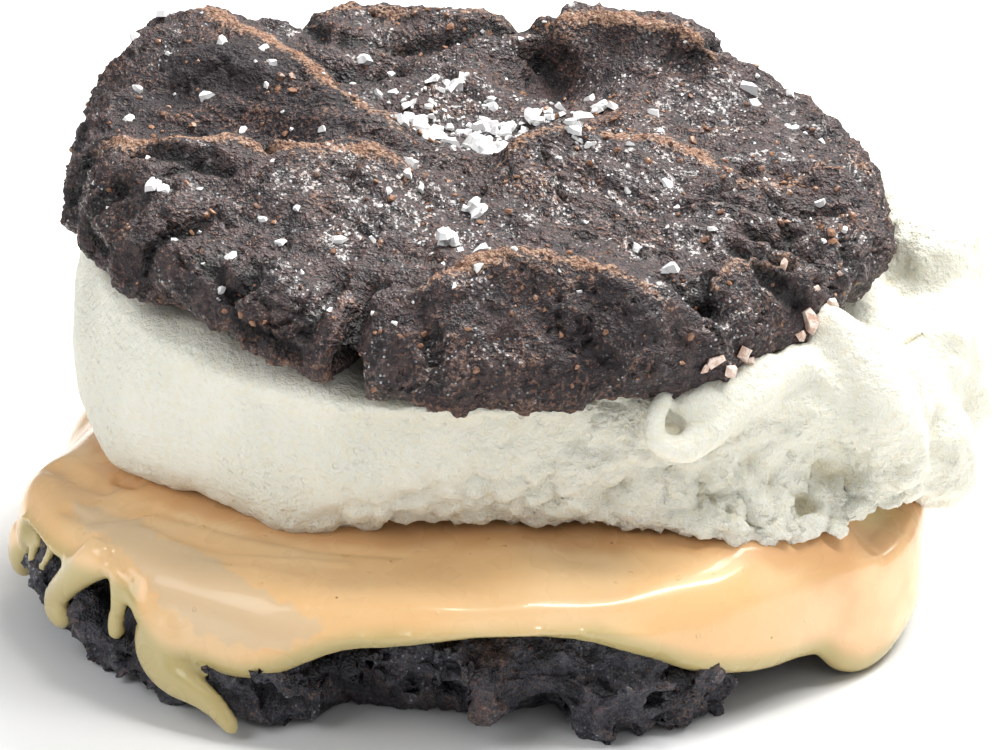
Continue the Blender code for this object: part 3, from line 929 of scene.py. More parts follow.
def fuse(piece, extra, voxel, smoothing):
    # joins extra shapes to a body as one skin, then smooths the steps away
    mesh = bmesh.new()
    mesh.from_mesh(piece.data)
    for vert in extra.verts:
        vert.co = Vector(onAxis(np.array(vert.co)))
    held = bpy.data.meshes.new("held")
    extra.to_mesh(held)
    mesh.from_mesh(held)
    mesh.to_mesh(piece.data)
    bpy.data.meshes.remove(held)
    remesh = piece.modifiers.new("skin", "REMESH")
    remesh.mode = "VOXEL"
    remesh.voxel_size = voxel * mm
    remesh.use_smooth_shade = True
    smooth = piece.modifiers.new("smooth", "SMOOTH")
    smooth.factor = 0.5
    smooth.iterations = smoothing
    return applied(piece)


def insideCorners(points, corners):
    # which points lie inside an outline of corners
    inside = np.zeros(len(points), bool)
    for (x0, y0), (x1, y1) in zip(corners, corners[1:] + corners[:1]):
        crosses = (points[:, 1] > y0) != (points[:, 1] > y1)
        if y1 != y0:
            inside ^= crosses & (points[:, 0] < x0 + (points[:, 1] - y0) * (x1 - x0) / (y1 - y0))
    return inside


def makeSauce():
    part = sauce
    angle = columnAngles(part["columns"], 1.6)
    outer = around(part["outline"], angle)
    inner = outer - part["wrap"]
    under = baseCookie["thickness"] + 0.3
    level = under + part["thickness"]
    edge = around(part["edge"], angle)
    slump = humps(part["slump"], angle)
    foot = around(iceCream["radii"], angle, 1)
    sag = humps(iceCream["sag"], angle)
    flat = np.minimum(foot + 0.6 - 0.8 * np.minimum(2.0, sag), outer - 4.8 - slump)
    low = np.minimum(edge, under - 0.9)
    middle = 0.5 * (under + low)
    keys = [
        (10.0, under), (24.0, under), (inner - 3.0, under), (inner - 0.4, under - 0.4),
        (inner, middle), (inner + 0.35, low + 0.5), (0.5 * (inner + outer) - 0.1, edge - 0.1),
        (outer - 0.5, edge + 0.7), (outer, 0.5 * (under + edge) + 0.9),
        (outer - 0.35, under - 0.3 - 0.6 * slump), (outer - 1.8, under + 1.9 - slump),
        (0.5 * (outer - 1.8 + flat), level - 0.75 - 0.6 * slump - 0.15 * sag),
        (flat, level - 0.1 * slump), (22.0, level), (10.0, level),
    ]
    counts = (3, 4, 3, 3, 4, 4, 4, 5, 5, 5, 6, 6, 5, 4)
    piece = keyedBody("sauce", keys, counts, angle)
    extra = bmesh.new()
    for stops in part["strings"]:
        addString(extra, stops, 0.62)
    piece = fuse(piece, extra, part["voxel"], part["smoothing"])
    mesh = piece.data
    points = readPoints(mesh)
    normals = readPoints(mesh, "normal")
    # irons out the faint steps that joining leaves on the flat stretches
    dip = hollowness(mesh, part["ironing"])
    points += normals * (dip * smoothStep(0.14, 0.05, np.abs(dip)))[:, None]
    reach, bearing = polar(points)
    upper = smoothStep(0.1, 0.5, normals[:, 2])
    points += normals * (0.10 * waves(points, 12.0, 41))[:, None]
    for path, width, height in part["wrinkles"]:
        away = lineDistance(points[:, :2], path)
        points += normals * (bell(away, width) * height * upper)[:, None]
    rolled = points[:, 2] + np.maximum(0.0, 45.5 - reach) * upper
    chart = np.stack([bearing * part["perDegree"] + 0.25 * waves(points, 2.6, 43),
                      rolled + 0.25 * waves(points, 2.0, 44)], axis=1)
    corners = [(angleAt * part["perDegree"], height) for angleAt, height in part["skin"]]
    away = lineDistance(chart, corners + corners[:1])
    skin = np.where(insideCorners(chart, corners), away, -away)
    shown = (normals[:, 2] > -0.3) & (reach > 36.0)
    points += normals * (smoothStep(-0.15, 0.35, skin) * shown * 0.16)[:, None]
    writePoints(mesh, points)
    localEdge = around(part["edge"], bearing)
    # olive tint towards the sauce's lower edge
    hem = smoothStep(4.0, 0.3, points[:, 2] - np.minimum(localEdge, 10.5)) * smoothStep(40.0, 43.0, reach)
    # painted shade: the shadowed dip near the top at -28 degrees is darkened with the same olive tint
    dipShade = 0.75 * hump(turnFrom(bearing, -28.0), 12.0) * smoothStep(10.5, 14.0, points[:, 2])
    writeLayer(mesh, "hem", np.maximum(hem, dipShade))
    # painted reflection: this layer marks the pale patch where a large light's reflection is painted
    writeLayer(mesh, "skin", smoothStep(-0.2, 0.2, skin) * shown)
    writeLayer(mesh, "brim", smoothStep(6.0, 0.3, reach - around(iceCream["radii"], bearing, 1)))
    return piece


sauceLook = {
    "body": (0.83, 0.525, 0.25),
    "light": (0.83, 0.57, 0.305),
    "darkerNearIce": (0.66, 0.36, 0.16),
    # pale colour of the painted reflection
    "skin": (0.69, 0.515, 0.32),
    # olive towards the lower edge, also used as painted shade in the dip at -28 degrees
    "hem": (0.45, 0.385, 0.16),
    "speck": (0.16, 0.07, 0.03),
}


def sauceMaterial():
    look = sauceLook
    material, maker, shader, place = startMaterial(
        "caramelSauce", Roughness=0.24, IOR=1.45, Coat_Weight=0.4, Coat_Roughness=0.07,
        Subsurface_Weight=0.12, Subsurface_Radius=(0.005, 0.003, 0.0014), Subsurface_Scale=0.5)
    drift = maker.noise(place, 13.0, 1.0)
    ripple = maker.noise(place, 3.4, 1.0)
    dots, dotTone = maker.tonedCells(place, 1.5)
    brim = maker.layer("brim")
    hem = maker.layer("hem")
    skin = maker.layer("skin")
    base = maker.mix(maker.step(drift, 0.42, 0.62), look["body"], look["light"])
    # darker towards the ice cream's foot
    base = maker.mix(maker.step(brim + (ripple - 0.5) * 0.7, 0.25, 1.0, 0.0, 0.85), base, look["darkerNearIce"])
    # painted reflection: the pale patch's colour stands in for a large light's reflection
    base = maker.mix(skin * 0.8, base, look["skin"])
    # olive towards the lower edge, and painted shade in the dip at -28 degrees
    base = maker.mix(maker.step(hem, 0.15, 0.95, 0.0, 0.85), base, look["hem"])
    dark = maker.step(dotTone, 0.965, 0.97) * maker.step(dots, 0.11, 0.08)
    base = maker.mix(dark * 0.7, base, look["speck"])
    maker.feed(shader.inputs["Base Color"], base)
    maker.feed(shader.inputs["Roughness"], 0.20 + 0.16 * ripple + 0.1 * skin)
    bubbles = maker.step(dotTone, 0.30, 0.28) * maker.step(dots, 0.2, 0.08) * maker.step(ripple, 0.52, 0.60)
    addBump(maker, shader, ripple * 0.3 + bubbles * 0.6, 0.28, 0.6)
    return material


iceCream = {
    "columns": 420,
    # the lumps melt in softly, the curled lip stays crisp
    "voxel": 0.45, "softVoxel": 0.63, "softSmoothing": 9, "lipSmoothing": 4,
    # angle, radius of the foot, of the belly and of the top
    "radii": (
        (-180.0, 35.8, 39.0, 37.6), (-165.0, 35.9, 39.4, 37.8), (-150.0, 36.2, 39.2, 38.0),
        (-137.0, 34.2, 38.8, 38.6), (-119.0, 33.6, 37.8, 38.8), (-102.0, 31.8, 36.6, 38.4),
        (-86.0, 30.6, 36.2, 37.9), (-72.0, 33.0, 36.8, 37.6), (-62.0, 36.6, 38.2, 37.8),
        (-54.0, 40.4, 40.2, 38.2), (-46.0, 43.2, 42.2, 38.8), (-38.0, 45.0, 44.6, 40.0),
        (-28.0, 45.6, 47.4, 41.6), (-14.0, 44.4, 50.2, 44.0), (0.0, 43.2, 51.6, 46.0),
        (14.0, 42.6, 51.4, 46.8), (30.0, 41.2, 49.0, 45.4), (50.0, 38.5, 43.5, 40.0),
        (75.0, 37.4, 40.6, 38.2), (95.0, 37.0, 40.0, 38.0), (140.0, 36.0, 39.5, 38.0),
    ),
    "sag": ((-12.0, 24.0, 5.4),),
    "sagReach": 49.0,
    # drop of the foot over the sauce's shoulder: angle, half width, drop
    "footDrops": ((-40.0, 20.0, 2.4), (-116.0, 18.0, 1.1)),
    # soft dents: angle, half width, height, half height, depth
    "dents": (
        (-158.0, 12.0, 31.0, 6.0, 0.9), (-132.0, 12.0, 29.0, 6.0, 0.7), (-118.0, 10.0, 22.0, 5.0, 0.5),
        (-100.0, 10.0, 27.0, 7.0, 0.5), (-38.0, 13.0, 20.0, 6.0, 2.6), (-70.0, 9.0, 30.0, 5.0, 1.2),
        (-20.0, 7.0, 29.5, 6.0, 2.4), (20.0, 10.0, 25.0, 6.0, 1.2), (60.0, 14.0, 28.0, 7.0, 1.2),
        (120.0, 20.0, 26.0, 7.0, 1.0), (165.0, 14.0, 22.0, 5.0, 0.8),
    ),
    # lumps: angle, radius, height, three half widths
    "lumps": (
        (18.0, 45.4, 31.0, (6.0, 7.0, 5.0)), (3.0, 46.4, 30.2, (5.6, 7.0, 5.4)),
        (-6.0, 47.2, 22.0, (5.0, 6.5, 7.0)), (-18.0, 47.4, 17.6, (5.0, 5.2, 6.0)),
        (32.0, 44.0, 28.0, (5.0, 6.0, 6.0)), (12.0, 44.6, 33.4, (4.4, 5.0, 3.0)),
    ),
    # curled lip and folds: stops of angle, radius, height and half thickness
    "curl": (
        ((-62.8, 40.2, 32.2, 0.9), (-64.6, 40.9, 30.4, 1.0), (-64.4, 41.3, 28.3, 1.2),
         (-61.2, 41.6, 27.3, 1.5), (-57.4, 41.4, 28.3, 1.6), (-53.0, 41.0, 29.6, 1.6),
         (-47.0, 40.8, 30.8, 1.9), (-40.0, 40.8, 31.8, 2.3)),
        ((-61.0, 38.8, 30.2, 1.3), (-57.2, 39.8, 30.7, 2.2), (-52.6, 39.8, 31.2, 2.1),
         (-46.0, 39.8, 32.0, 2.0)),
        ((-50.0, 39.6, 29.6, 0.9), (-46.0, 41.0, 28.9, 1.2), (-41.8, 42.4, 27.7, 1.5),
         (-38.0, 43.4, 26.0, 1.7),
         (-34.6, 44.6, 24.0, 1.9), (-30.0, 45.8, 22.0, 2.3)),
        ((-33.6, 40.4, 33.2, 3.0), (-32.6, 42.0, 30.6, 3.8), (-31.6, 43.6, 27.2, 4.4),
         (-28.8, 45.2, 22.6, 4.2),
         (-25.8, 45.6, 18.0, 4.0)),
        ((-40.5, 41.2, 32.6, 1.4), (-38.6, 42.4, 30.4, 1.5), (-36.6, 43.8, 27.4, 1.6)),
    ),
    # grooves: path of angle, radius and height, width, depth
    "creases": (
        (((-63.0, 40.0, 30.6), (-61.2, 40.4, 29.4)), 0.6, 1.0),
        (((-65.6, 38.6, 26.6), (-61.6, 39.2, 25.3), (-57.0, 39.4, 26.3), (-52.0, 39.2, 27.6),
          (-47.0, 39.6, 28.6)), 0.9, 1.0),
        (((-49.0, 40.2, 28.2), (-44.0, 41.4, 26.6), (-39.0, 42.6, 24.6), (-34.0, 44.0, 22.2)), 0.7, 1.2),
        (((-40.5, 43.5, 20.5), (-41.5, 43.0, 18.5), (-39.5, 43.5, 17.4), (-40.5, 43.5, 15.6)), 0.5, 1.5),
        (((-46.5, 42.0, 18.2), (-44.0, 42.6, 17.6), (-42.0, 43.0, 18.0), (-40.5, 43.5, 17.0)), 0.45, 1.2),
        (((-43.5, 42.5, 16.2), (-41.5, 43.0, 15.2)), 0.4, 0.9),
        (((-64.0, 36.5, 25.6), (-63.4, 36.5, 23.4)), 0.4, 0.8),
        (((-53.0, 39.6, 21.5), (-51.6, 40.2, 19.4), (-52.0, 40.6, 18.0)), 0.5, 1.0),
        (((-50.0, 41.0, 18.5), (-49.6, 41.4, 16.4)), 0.5, 1.2),
        (((-57.6, 38.0, 19.0), (-57.0, 38.4, 16.6)), 0.45, 1.0),
        (((-66.5, 34.5, 19.6), (-66.0, 34.8, 17.2)), 0.4, 0.8),
        (((-72.0, 33.5, 18.6), (-71.8, 33.0, 16.8)), 0.4, 0.8),
        (((-88.0, 34.0, 20.0), (-86.0, 35.0, 22.0), (-83.0, 36.0, 25.5)), 0.5, 0.5),
        (((-95.0, 34.0, 20.5), (-93.0, 34.5, 22.5)), 0.5, 0.5),
        (((-27.0, 45.6, 32.0), (-24.6, 46.6, 28.0), (-22.6, 48.0, 23.0), (-22.0, 48.8, 18.6)), 0.9, 1.3),
        (((-37.6, 42.6, 29.6), (-35.6, 43.8, 26.8), (-34.6, 44.6, 24.6)), 0.5, 0.7),
    ),
    # deep hollows: angle, radius, height, half width, depth
    "hollows": (
        (-19.6, 45.6, 30.4, 2.0, 2.8), (-12.0, 50.0, 25.6, 1.3, 0.7), (-6.0, 51.4, 22.4, 1.5, 0.8),
        (2.0, 50.4, 31.4, 1.6, 0.7), (-14.0, 50.0, 19.0, 1.4, 0.7),
        (16.0, 48.0, 31.0, 1.8, 1.0), (24.0, 48.0, 24.0, 2.2, 1.4),
    ),
}


def makeIceCream():
    part = iceCream
    angle = columnAngles(part["columns"], 1.3)
    turn = np.radians(angle)
    rim = ringPoints(turn, 38.0)
    foot = around(part["radii"], angle, 1) + 0.3 * waves(rim, 6.0, 51)
    belly = around(part["radii"], angle, 2)
    top = around(part["radii"], angle, 3)
    floor = baseCookie["thickness"] + sauce["thickness"] + 0.5
    sag = humps(part["sag"], angle)
    sagging = np.minimum(1.0, sag / 1.5)
    skirt = foot + 1.4 + sagging * (part["sagReach"] - foot - 1.4)
    drop = humps(part["footDrops"], angle)

    def seat(reach):
        return seatHeight(reach * np.cos(turn), reach * np.sin(turn)) - 0.3

    ceiling = 37.0 + 0.0 * angle
    keys = [
        (10.0, floor), (22.0, floor), (foot - 2.0, floor - 0.1 - 0.6 * drop), (foot, floor + 0.1 - drop),
        (skirt, floor + 1.4 - 1.1 * sag - drop),
        (skirt + 0.55 * (belly - skirt), floor + 3.4 - 0.9 * sag - 0.4 * drop),
        (skirt + 0.9 * (belly - skirt), floor + 6.8 - 0.5 * sag), (belly, floor + 10.5),
        (0.6 * belly + 0.4 * top, floor + 14.2), (np.maximum(top, 37.4), seat(top) - 1.2),
        (ceiling, seat(ceiling)), (22.0, seat(22.0 + 0.0 * angle)), (10.0, seat(10.0 + 0.0 * angle)),
    ]
    counts = (4, 6, 4, 5, 8, 10, 10, 10, 10, 5, 6, 4)
    piece = keyedBody("iceCream", keys, counts, angle)
    mesh = piece.data
    points = readPoints(mesh)
    reach, bearing = polar(points)
    pull = np.zeros(len(points))
    for centre, width, middle, half, depth in part["dents"]:
        pull += depth * hump(turnFrom(bearing, centre), width) * hump(points[:, 2] - middle, half)
    points[:, :2] *= (1.0 - pull / np.maximum(reach, 1.0))[:, None]
    writePoints(mesh, points)
    extra = bmesh.new()
    for bearingAt, radius, height, halves in part["lumps"]:
        addBead(extra, spot(bearingAt, radius, height), 1.0, halves, 4)
    piece = fuse(piece, extra, part["softVoxel"], part["softSmoothing"])
    extra = bmesh.new()
    for stops in part["curl"]:
        addString(extra, stops)
    piece = fuse(piece, extra, part["voxel"], part["lipSmoothing"])
    mesh = piece.data
    points = readPoints(mesh)
    normals = readPoints(mesh, "normal")
    reach, bearing = polar(points)
    side = smoothStep(33.0, 36.0, reach + 6.0 * hump(turnFrom(bearing, -90.0), 60.0))
    right = hump(turnFrom(bearing, 2.0), 60.0)
    points += normals * (side * (0.24 * waves(points, 14.0, 61) + right * 0.34 * waves(points, 8.0, 62)
                                 + right * 0.14 * waves(points, 3.4, 63)))[:, None]
    crease = np.zeros(len(points))
    for path, width, depth in part["creases"]:
        away = lineDistance(points, [spot(*stop) for stop in path])
        groove = bell(away, width)
        points -= normals * (groove * depth)[:, None]
        crease = np.maximum(crease, groove * 0.3 * min(1.0, depth))
    for bearingAt, radius, height, width, depth in part["hollows"]:
        away = np.linalg.norm(points - np.array(spot(bearingAt, radius, height)), axis=1)
        dip = bell(away, width)
        points -= normals * (dip * depth)[:, None]
        crease = np.maximum(crease, dip)
    writePoints(mesh, points)
    # grooves and hollows tinted cream: partly melt, partly painted shade
    writeLayer(mesh, "melt", 0.8 * crease)
    low = smoothStep(26.0, 18.0, points[:, 2])
    broken = hump(turnFrom(bearing, -68.0), 58.0)
    frost = 0.12 + 0.22 * low + broken * (0.38 + 0.42 * low)
    for stops in part["curl"][:2]:
        frost *= smoothStep(1.6, 3.4, lineDistance(points, [spot(*stop[:3]) for stop in stops]))
    writeLayer(mesh, "frost", frost)
    return piece


def iceRelief():
    sizes = {"Lump Height": 0.0003, "Crumb Height": 0.0008, "Curd Height": 0.0011, "Split Depth": 0.0008}
    tree, maker, size = startRelief("iceRelief", sizes)
    place = maker.node("GeometryNodeInputPosition")
    normal = maker.node("GeometryNodeInputNormal")
    frost = maker.stored("frost")
    melt = maker.stored("melt")
    lumps = maker.noise(place, 5.0, 3.0, 0.5) - 0.5
    crumbs = maker.noise(place, 1.5, 4.0, 0.65) - 0.5
    wander = maker.noise(place, 2.6, 2.0, output="Color")
    bent = maker.wandering(place, wander, 3.0 * mm)
    tall = maker.vector("MULTIPLY", bent, (1.0, 1.0, 0.55))
    edges = maker.cells(tall, 3.6, "DISTANCE_TO_EDGE")
    curds = maker.cellsAt(bent, 420.0, "SMOOTH_F1", Smoothness=0.2)
    where = maker.step(maker.noise(place, 4.5, 2.0), 0.5, 0.6)
    split = (1.0 - maker.step(edges, 0.0, 0.09)) * where * maker.step(frost, 0.35, 0.9)
    rise = lumps * size["Lump Height"] * 2.0 + crumbs * size["Crumb Height"] * 2.0 * frost
    rise = rise - split * size["Split Depth"]
    rise = rise - curds * curds * size["Curd Height"] * 1.8 * maker.step(frost, 0.25, 0.62)
    moved = maker.moving(size["Geometry"], normal, rise)
    # splits add painted shade to the cream tint
    marked = maker.storing(moved, "melt", melt + split * 0.35)
    closeRelief(tree, maker, marked, size["Material"])
    return tree


iceLook = {
    "body": (0.80, 0.79, 0.70),
    "cool": (0.75, 0.745, 0.655),
    "cream": (0.79, 0.70, 0.49),
    "speck": (0.25, 0.19, 0.11),
}


def iceMaterial():
    look = iceLook
    material, maker, shader, place = startMaterial(
        "vanillaIce", IOR=1.36, Subsurface_Weight=0.14, Subsurface_Radius=(0.0032, 0.0028, 0.002),
        Subsurface_Scale=0.5)
    drift = maker.noise(place, 9.0, 1.0)
    grain = maker.noise(place, 0.8, 3.0, 0.7)
    pores = maker.cells(place, 1.25)
    frost = maker.layer("frost")
    melt = maker.layer("melt")
    base = maker.mix(maker.step(drift, 0.4, 0.62), look["body"], look["cool"])
    # cream tint of melt together with painted shade in hollows, grooves and splits
    base = maker.mix(maker.step(melt, 0.1, 0.9, 0.0, 0.8), base, look["cream"])
    base = maker.mix(maker.step(grain, 0.52, 0.36, 0.0, 0.28), base, look["cream"])
    specks, speckTone = maker.tonedCells(place, 2.4)
    speck = maker.step(speckTone, 0.95, 0.96) * maker.step(specks, 0.06, 0.04)
    base = maker.mix(speck, base, look["speck"])
    maker.feed(shader.inputs["Base Color"], base)
    maker.feed(shader.inputs["Roughness"], 0.58 - 0.34 * maker.step(grain, 0.48, 0.62) * frost)
    hole = (1.0 - maker.step(pores, 0.08, 0.34)) * maker.step(drift + grain * 0.6, 0.72, 0.86)
    height = grain * (0.55 + frost * 0.6) - hole * (0.15 + 0.35 * frost)
    addBump(maker, shader, height, 0.8, 0.9)
    return material


print("sauce")
saucePiece = makeSauce()
restOnFloor(saucePiece.data)
saucePiece.data.materials.append(sauceMaterial())
settle(saucePiece, "sauce")

print("ice cream")
icePiece = makeIceCream()
useTree(icePiece, iceRelief(), {"Material": iceMaterial()})
# painted shade: hollows found by smoothing are tinted cream as well
raiseLayer(icePiece.data, "melt", 0.6 * smoothStep(0.12, 0.9, hollowness(icePiece.data, 40)))
settle(icePiece, "ice_cream")


salt = {
    "seed": 7,
    # piles seen from above: x, y, half width, share of the full density
    "piles": ((0.0, 12.0, 8.0, 0.45), (-3.6, 1.6, 2.4, 1.6), (2.4, 2.0, 2.6, 1.6), (4.5, 13.0, 4.0, 0.6),
              (-6.0, 8.0, 3.5, 0.6), (-1.5, 20.0, 3.0, 0.6), (-3.0, -22.0, 3.0, 0.5)),
    "everywhere": 0.05,
    # grains to a square metre, and their sizes in millimetres
    "grains": {"Density": 420000.0, "Smallest": 0.25, "Largest": 1.05},
    "tones": ((0.36, 0.375, 0.40), (0.88, 0.88, 0.87)),
    # heaps of broken flakes: x, y, half width, count, size
    "heaps": (
        (-4.0, 2.0, 2.2, 34, 1.15), (2.2, 2.4, 2.6, 42, 1.1), (-6.6, 9.0, 1.4, 10, 1.05),
        (2.6, 12.0, 2.6, 18, 0.9), (6.6, 13.4, 1.8, 10, 0.95), (-1.2, -22.4, 1.6, 11, 1.1),
        (10.8, -2.6, 1.1, 8, 1.15), (0.8, -15.0, 1.1, 6, 0.9), (-29.2, -17.6, 0.9, 6, 0.95),
        (-2.0, 20.0, 1.8, 9, 0.9), (13.6, 14.6, 1.6, 7, 0.9), (33.0, 11.4, 0.9, 5, 0.9),
        (-1.0, 8.0, 3.2, 16, 0.6), (-3.0, 13.0, 3.0, 12, 0.6),
    ),
    # single flakes: x, y, size
    "flakes": (
        (12.0, -4.6, 0.9), (1.6, -23.8, 1.1), (-11.6, -23.8, 1.0), (28.6, 21.2, 1.2), (9.6, 20.8, 1.2),
        (12.2, 20.6, 0.9), (4.2, 13.4, 1.2), (-33.4, 5.2, 0.9), (-24.6, 13.6, 0.9), (19.2, 6.0, 0.9),
        (8.0, 14.8, 0.9), (18.6, 11.0, 1.0), (-20.4, 12.6, 0.7), (-14.0, -3.0, 0.8), (-33.4, -3.6, 0.7),
        (19.0, -25.8, 1.2), (-5.4, -8.0, 1.0), (-19.0, -20.0, 0.9), (-3.6, 15.0, 0.9), (-9.0, 16.0, 0.8),
    ),
}


def flakeMesh(dice, size):
    # flat broken crystal with a smaller, tilted top face
    mesh = bmesh.new()
    sides = int(dice.integers(5, 9))
    turns = (np.arange(sides) + dice.uniform(-0.3, 0.3, sides)) * 2.0 * math.pi / sides
    reach = dice.uniform(0.55, 1.2, sides) * size
    narrow = dice.uniform(0.55, 0.95)
    thick = size * dice.uniform(0.28, 0.6)
    slope = dice.uniform(-0.25, 0.25, 2)
    tip = dice.uniform(0.55, 0.9)
    low = []
    high = []
    for r, t in zip(reach, turns):
        x = r * math.cos(t)
        y = narrow * r * math.sin(t)
        low.append(mesh.verts.new((x, y, -0.2 * thick)))
        level = thick * dice.uniform(0.8, 1.15) + slope[0] * x + slope[1] * y
        high.append(mesh.verts.new((tip * x, tip * y, level)))
    mesh.faces.new(low[::-1])
    mesh.faces.new(high)
    for step in range(sides):
        after = (step + 1) % sides
        mesh.faces.new((low[step], low[after], high[after], high[step]))
    bmesh.ops.triangulate(mesh, faces=mesh.faces)
    bmesh.ops.scale(mesh, vec=(mm, mm, mm), verts=mesh.verts)
    bmesh.ops.recalc_face_normals(mesh, faces=mesh.faces)
    data = bpy.data.meshes.new("flake")
    mesh.to_mesh(data)
    mesh.free()
    return data


def scatterTree(name, kinds):
    sizes = {"Density": 60000.0, "Smallest": 0.35, "Largest": 1.0}
    tree, maker, size = startRelief(name, sizes)
    share = maker.stored("scatter")
    spread = tree.nodes.new("GeometryNodeDistributePointsOnFaces")
    maker.feed(spread.inputs["Mesh"], size["Geometry"])
    maker.feed(spread.inputs["Density"], share * size["Density"])
    spread.inputs["Seed"].default_value = salt["seed"]
    kinds = maker.node("GeometryNodeCollectionInfo", None,
                       {"Collection": kinds, "Separate Children": True, "Reset Children": True})
    tumble = maker.node("FunctionNodeRandomValue", {"data_type": "FLOAT_VECTOR"},
                        {"Min": (-0.6, -0.6, 0.0), "Max": (0.6, 0.6, 6.28), "Seed": 3})
    turned = maker.node("FunctionNodeEulerToRotation", None, {0: tumble})
    lying = maker.node("FunctionNodeRotateRotation", {"rotation_space": "LOCAL"},
                       {0: Wire(maker, spread.outputs["Rotation"]), 1: turned})
    dice = maker.node("FunctionNodeRandomValue", {"data_type": "FLOAT"},
                      {2: 0.0, 3: 1.0, "Seed": 9}, 1)
    scale = size["Smallest"] + (size["Largest"] - size["Smallest"]) * dice ** 3.0
    points = Wire(maker, spread.outputs["Points"])
    placed = maker.node("GeometryNodeInstanceOnPoints", None,
                        {"Points": points, "Instance": kinds, "Pick Instance": True,
                         "Rotation": lying, "Scale": scale})
    closeRelief(tree, maker, placed, size["Material"])
    return tree


def scatterOn(name, host, density, kindMeshes, values):
    # strews copies of small shapes over a copy of the host's surface
    piece = addObject(name, host.data.copy())
    writeLayer(piece.data, "scatter", density)
    group = bpy.data.collections.new(name + "Kinds")
    for index, mesh in enumerate(kindMeshes):
        group.objects.link(bpy.data.objects.new(f"{name}Kind{index}", mesh))
    tree = scatterTree(name + "Scatter", group)
    piece = useTree(piece, tree, values)
    for kind in list(group.objects):
        bpy.data.objects.remove(kind)
    bpy.data.collections.remove(group)
    return piece


def saltMaterial():
    material, maker, shader, place = startMaterial(
        "flakySalt", IOR=1.5, Subsurface_Weight=0.35, Subsurface_Radius=(0.0012, 0.0012, 0.0013),
        Coat_Weight=0.3)
    tone = maker.noise(place, 0.9, 4.0, 0.7)
    maker.feed(shader.inputs["Base Color"], maker.mix(tone, *salt["tones"]))
    maker.feed(shader.inputs["Roughness"], 0.15 + 0.35 * tone)
    addBump(maker, shader, maker.noise(place, 0.35, 3.0), 0.12, 0.8)
    return material


def surfaceTree(mesh):
    points = [vert.co[:] for vert in mesh.vertices]
    return BVHTree.FromPolygons(points, [face.vertices[:] for face in mesh.polygons])


def strewSalt(host):
    dice = np.random.default_rng(salt["seed"])
    points = readPoints(host.data)
    normals = readPoints(host.data, "normal")
    density = np.full(len(points), salt["everywhere"])
    for x, y, width, share in salt["piles"]:
        density += share * mound(points, x, y, width)
    density *= smoothStep(0.35, 0.75, normals[:, 2]) * (points[:, 2] > 36.0)
    kinds = [flakeMesh(dice, 1.0) for _ in range(6)]
    piece = scatterOn("saltFlakes", host, density, kinds,
                      {"Material": saltMaterial(), **salt["grains"]})
    tree = surfaceTree(host.data)
    places = [(x, y, size, 0.0) for x, y, size in salt["flakes"]]
    for x, y, width, count, size in salt["heaps"]:
        for _ in range(count):
            dx, dy = dice.normal(0.0, 0.5 * width, 2)
            near = math.exp(-(dx * dx + dy * dy) / width ** 2)
            places.append((x + dx, y + dy, size * dice.uniform(0.45, 1.25), near * 0.7))
    mesh = bmesh.new()
    mesh.from_mesh(piece.data)
    for x, y, size, pile in places:
        hit, normal, _, _ = tree.ray_cast(Vector(onAxis(np.array([x, y, 70.0]))), Vector((0.0, 0.0, -1.0)))
        if hit is None:
            continue
        steep = 0.9 if pile else 0.4
        lean = Vector((dice.uniform(-steep, steep), dice.uniform(-steep, steep), 1.0))
        turn = (normal + lean).to_track_quat("Z", "X").to_matrix().to_4x4()
        turn = turn @ Matrix.Rotation(dice.uniform(0.0, 2.0 * math.pi), 4, "Z")
        flake = flakeMesh(dice, size)
        start = len(mesh.verts)
        mesh.from_mesh(flake)
        mesh.verts.ensure_lookup_table()
        lift = normal * ((pile * dice.uniform(0.0, 1.6) - 0.1) * size * mm)
        for vert in mesh.verts[start:]:
            vert.co = turn @ vert.co + hit + lift
    for face in mesh.faces:
        face.material_index = 0
        face.smooth = False
    mesh.to_mesh(piece.data)
    mesh.free()
    return piece


print("salt")
saltPiece = strewSalt(topPiece)
settle(saltPiece, None)


bits = {
    "seed": 19,
    # rosy crystals stuck to the rim: angle, height, size
    "crystals": (
        (-32.7, 35.9, 1.0), (-37.1, 35.0, 1.5), (-50.7, 34.7, 1.1), (-55.8, 35.2, 1.0), (-54.2, 34.2, 0.8),
        (-37.6, 40.4, 1.1), (-49.0, 33.8, 0.8), (-39.5, 34.2, 0.7), (-57.5, 34.6, 0.6), (-35.2, 38.0, 0.6),
    ),
    # crumbs on the crust: x, y, half width, count, size
    "crumbs": (
        (6.6, 21.0, 2.0, 8, 0.7), (11.6, 14.0, 3.0, 14, 0.7), (8.0, 8.0, 3.0, 10, 0.6),
        (-8.0, 12.0, 5.0, 8, 0.6), (15.0, -1.0, 6.0, 14, 0.5), (-17.0, 6.0, 3.0, 4, 0.8),
        (30.0, -6.0, 8.0, 26, 0.5), (35.0, -14.0, 5.0, 22, 0.55), (-20.0, -10.0, 9.0, 24, 0.45),
        (-33.0, 5.0, 6.0, 14, 0.45), (9.0, -31.0, 8.0, 22, 0.45), (24.0, 14.0, 8.0, 20, 0.45),
        (-2.0, -14.0, 8.0, 18, 0.45), (0.0, 30.0, 12.0, 26, 0.5),
    ),
    # smaller crumbs strewn over the crust, and as many round the rim between two heights
    "strewn": 200, "reach": 41.0, "rim": (34.0, 46.0),
    # darker and lighter tone, and the least roughness
    "rosyLook": ((0.62, 0.40, 0.30), (0.85, 0.72, 0.64), 0.12),
    "rustyLook": ((0.10, 0.050, 0.035), (0.34, 0.165, 0.085), 0.5),
}


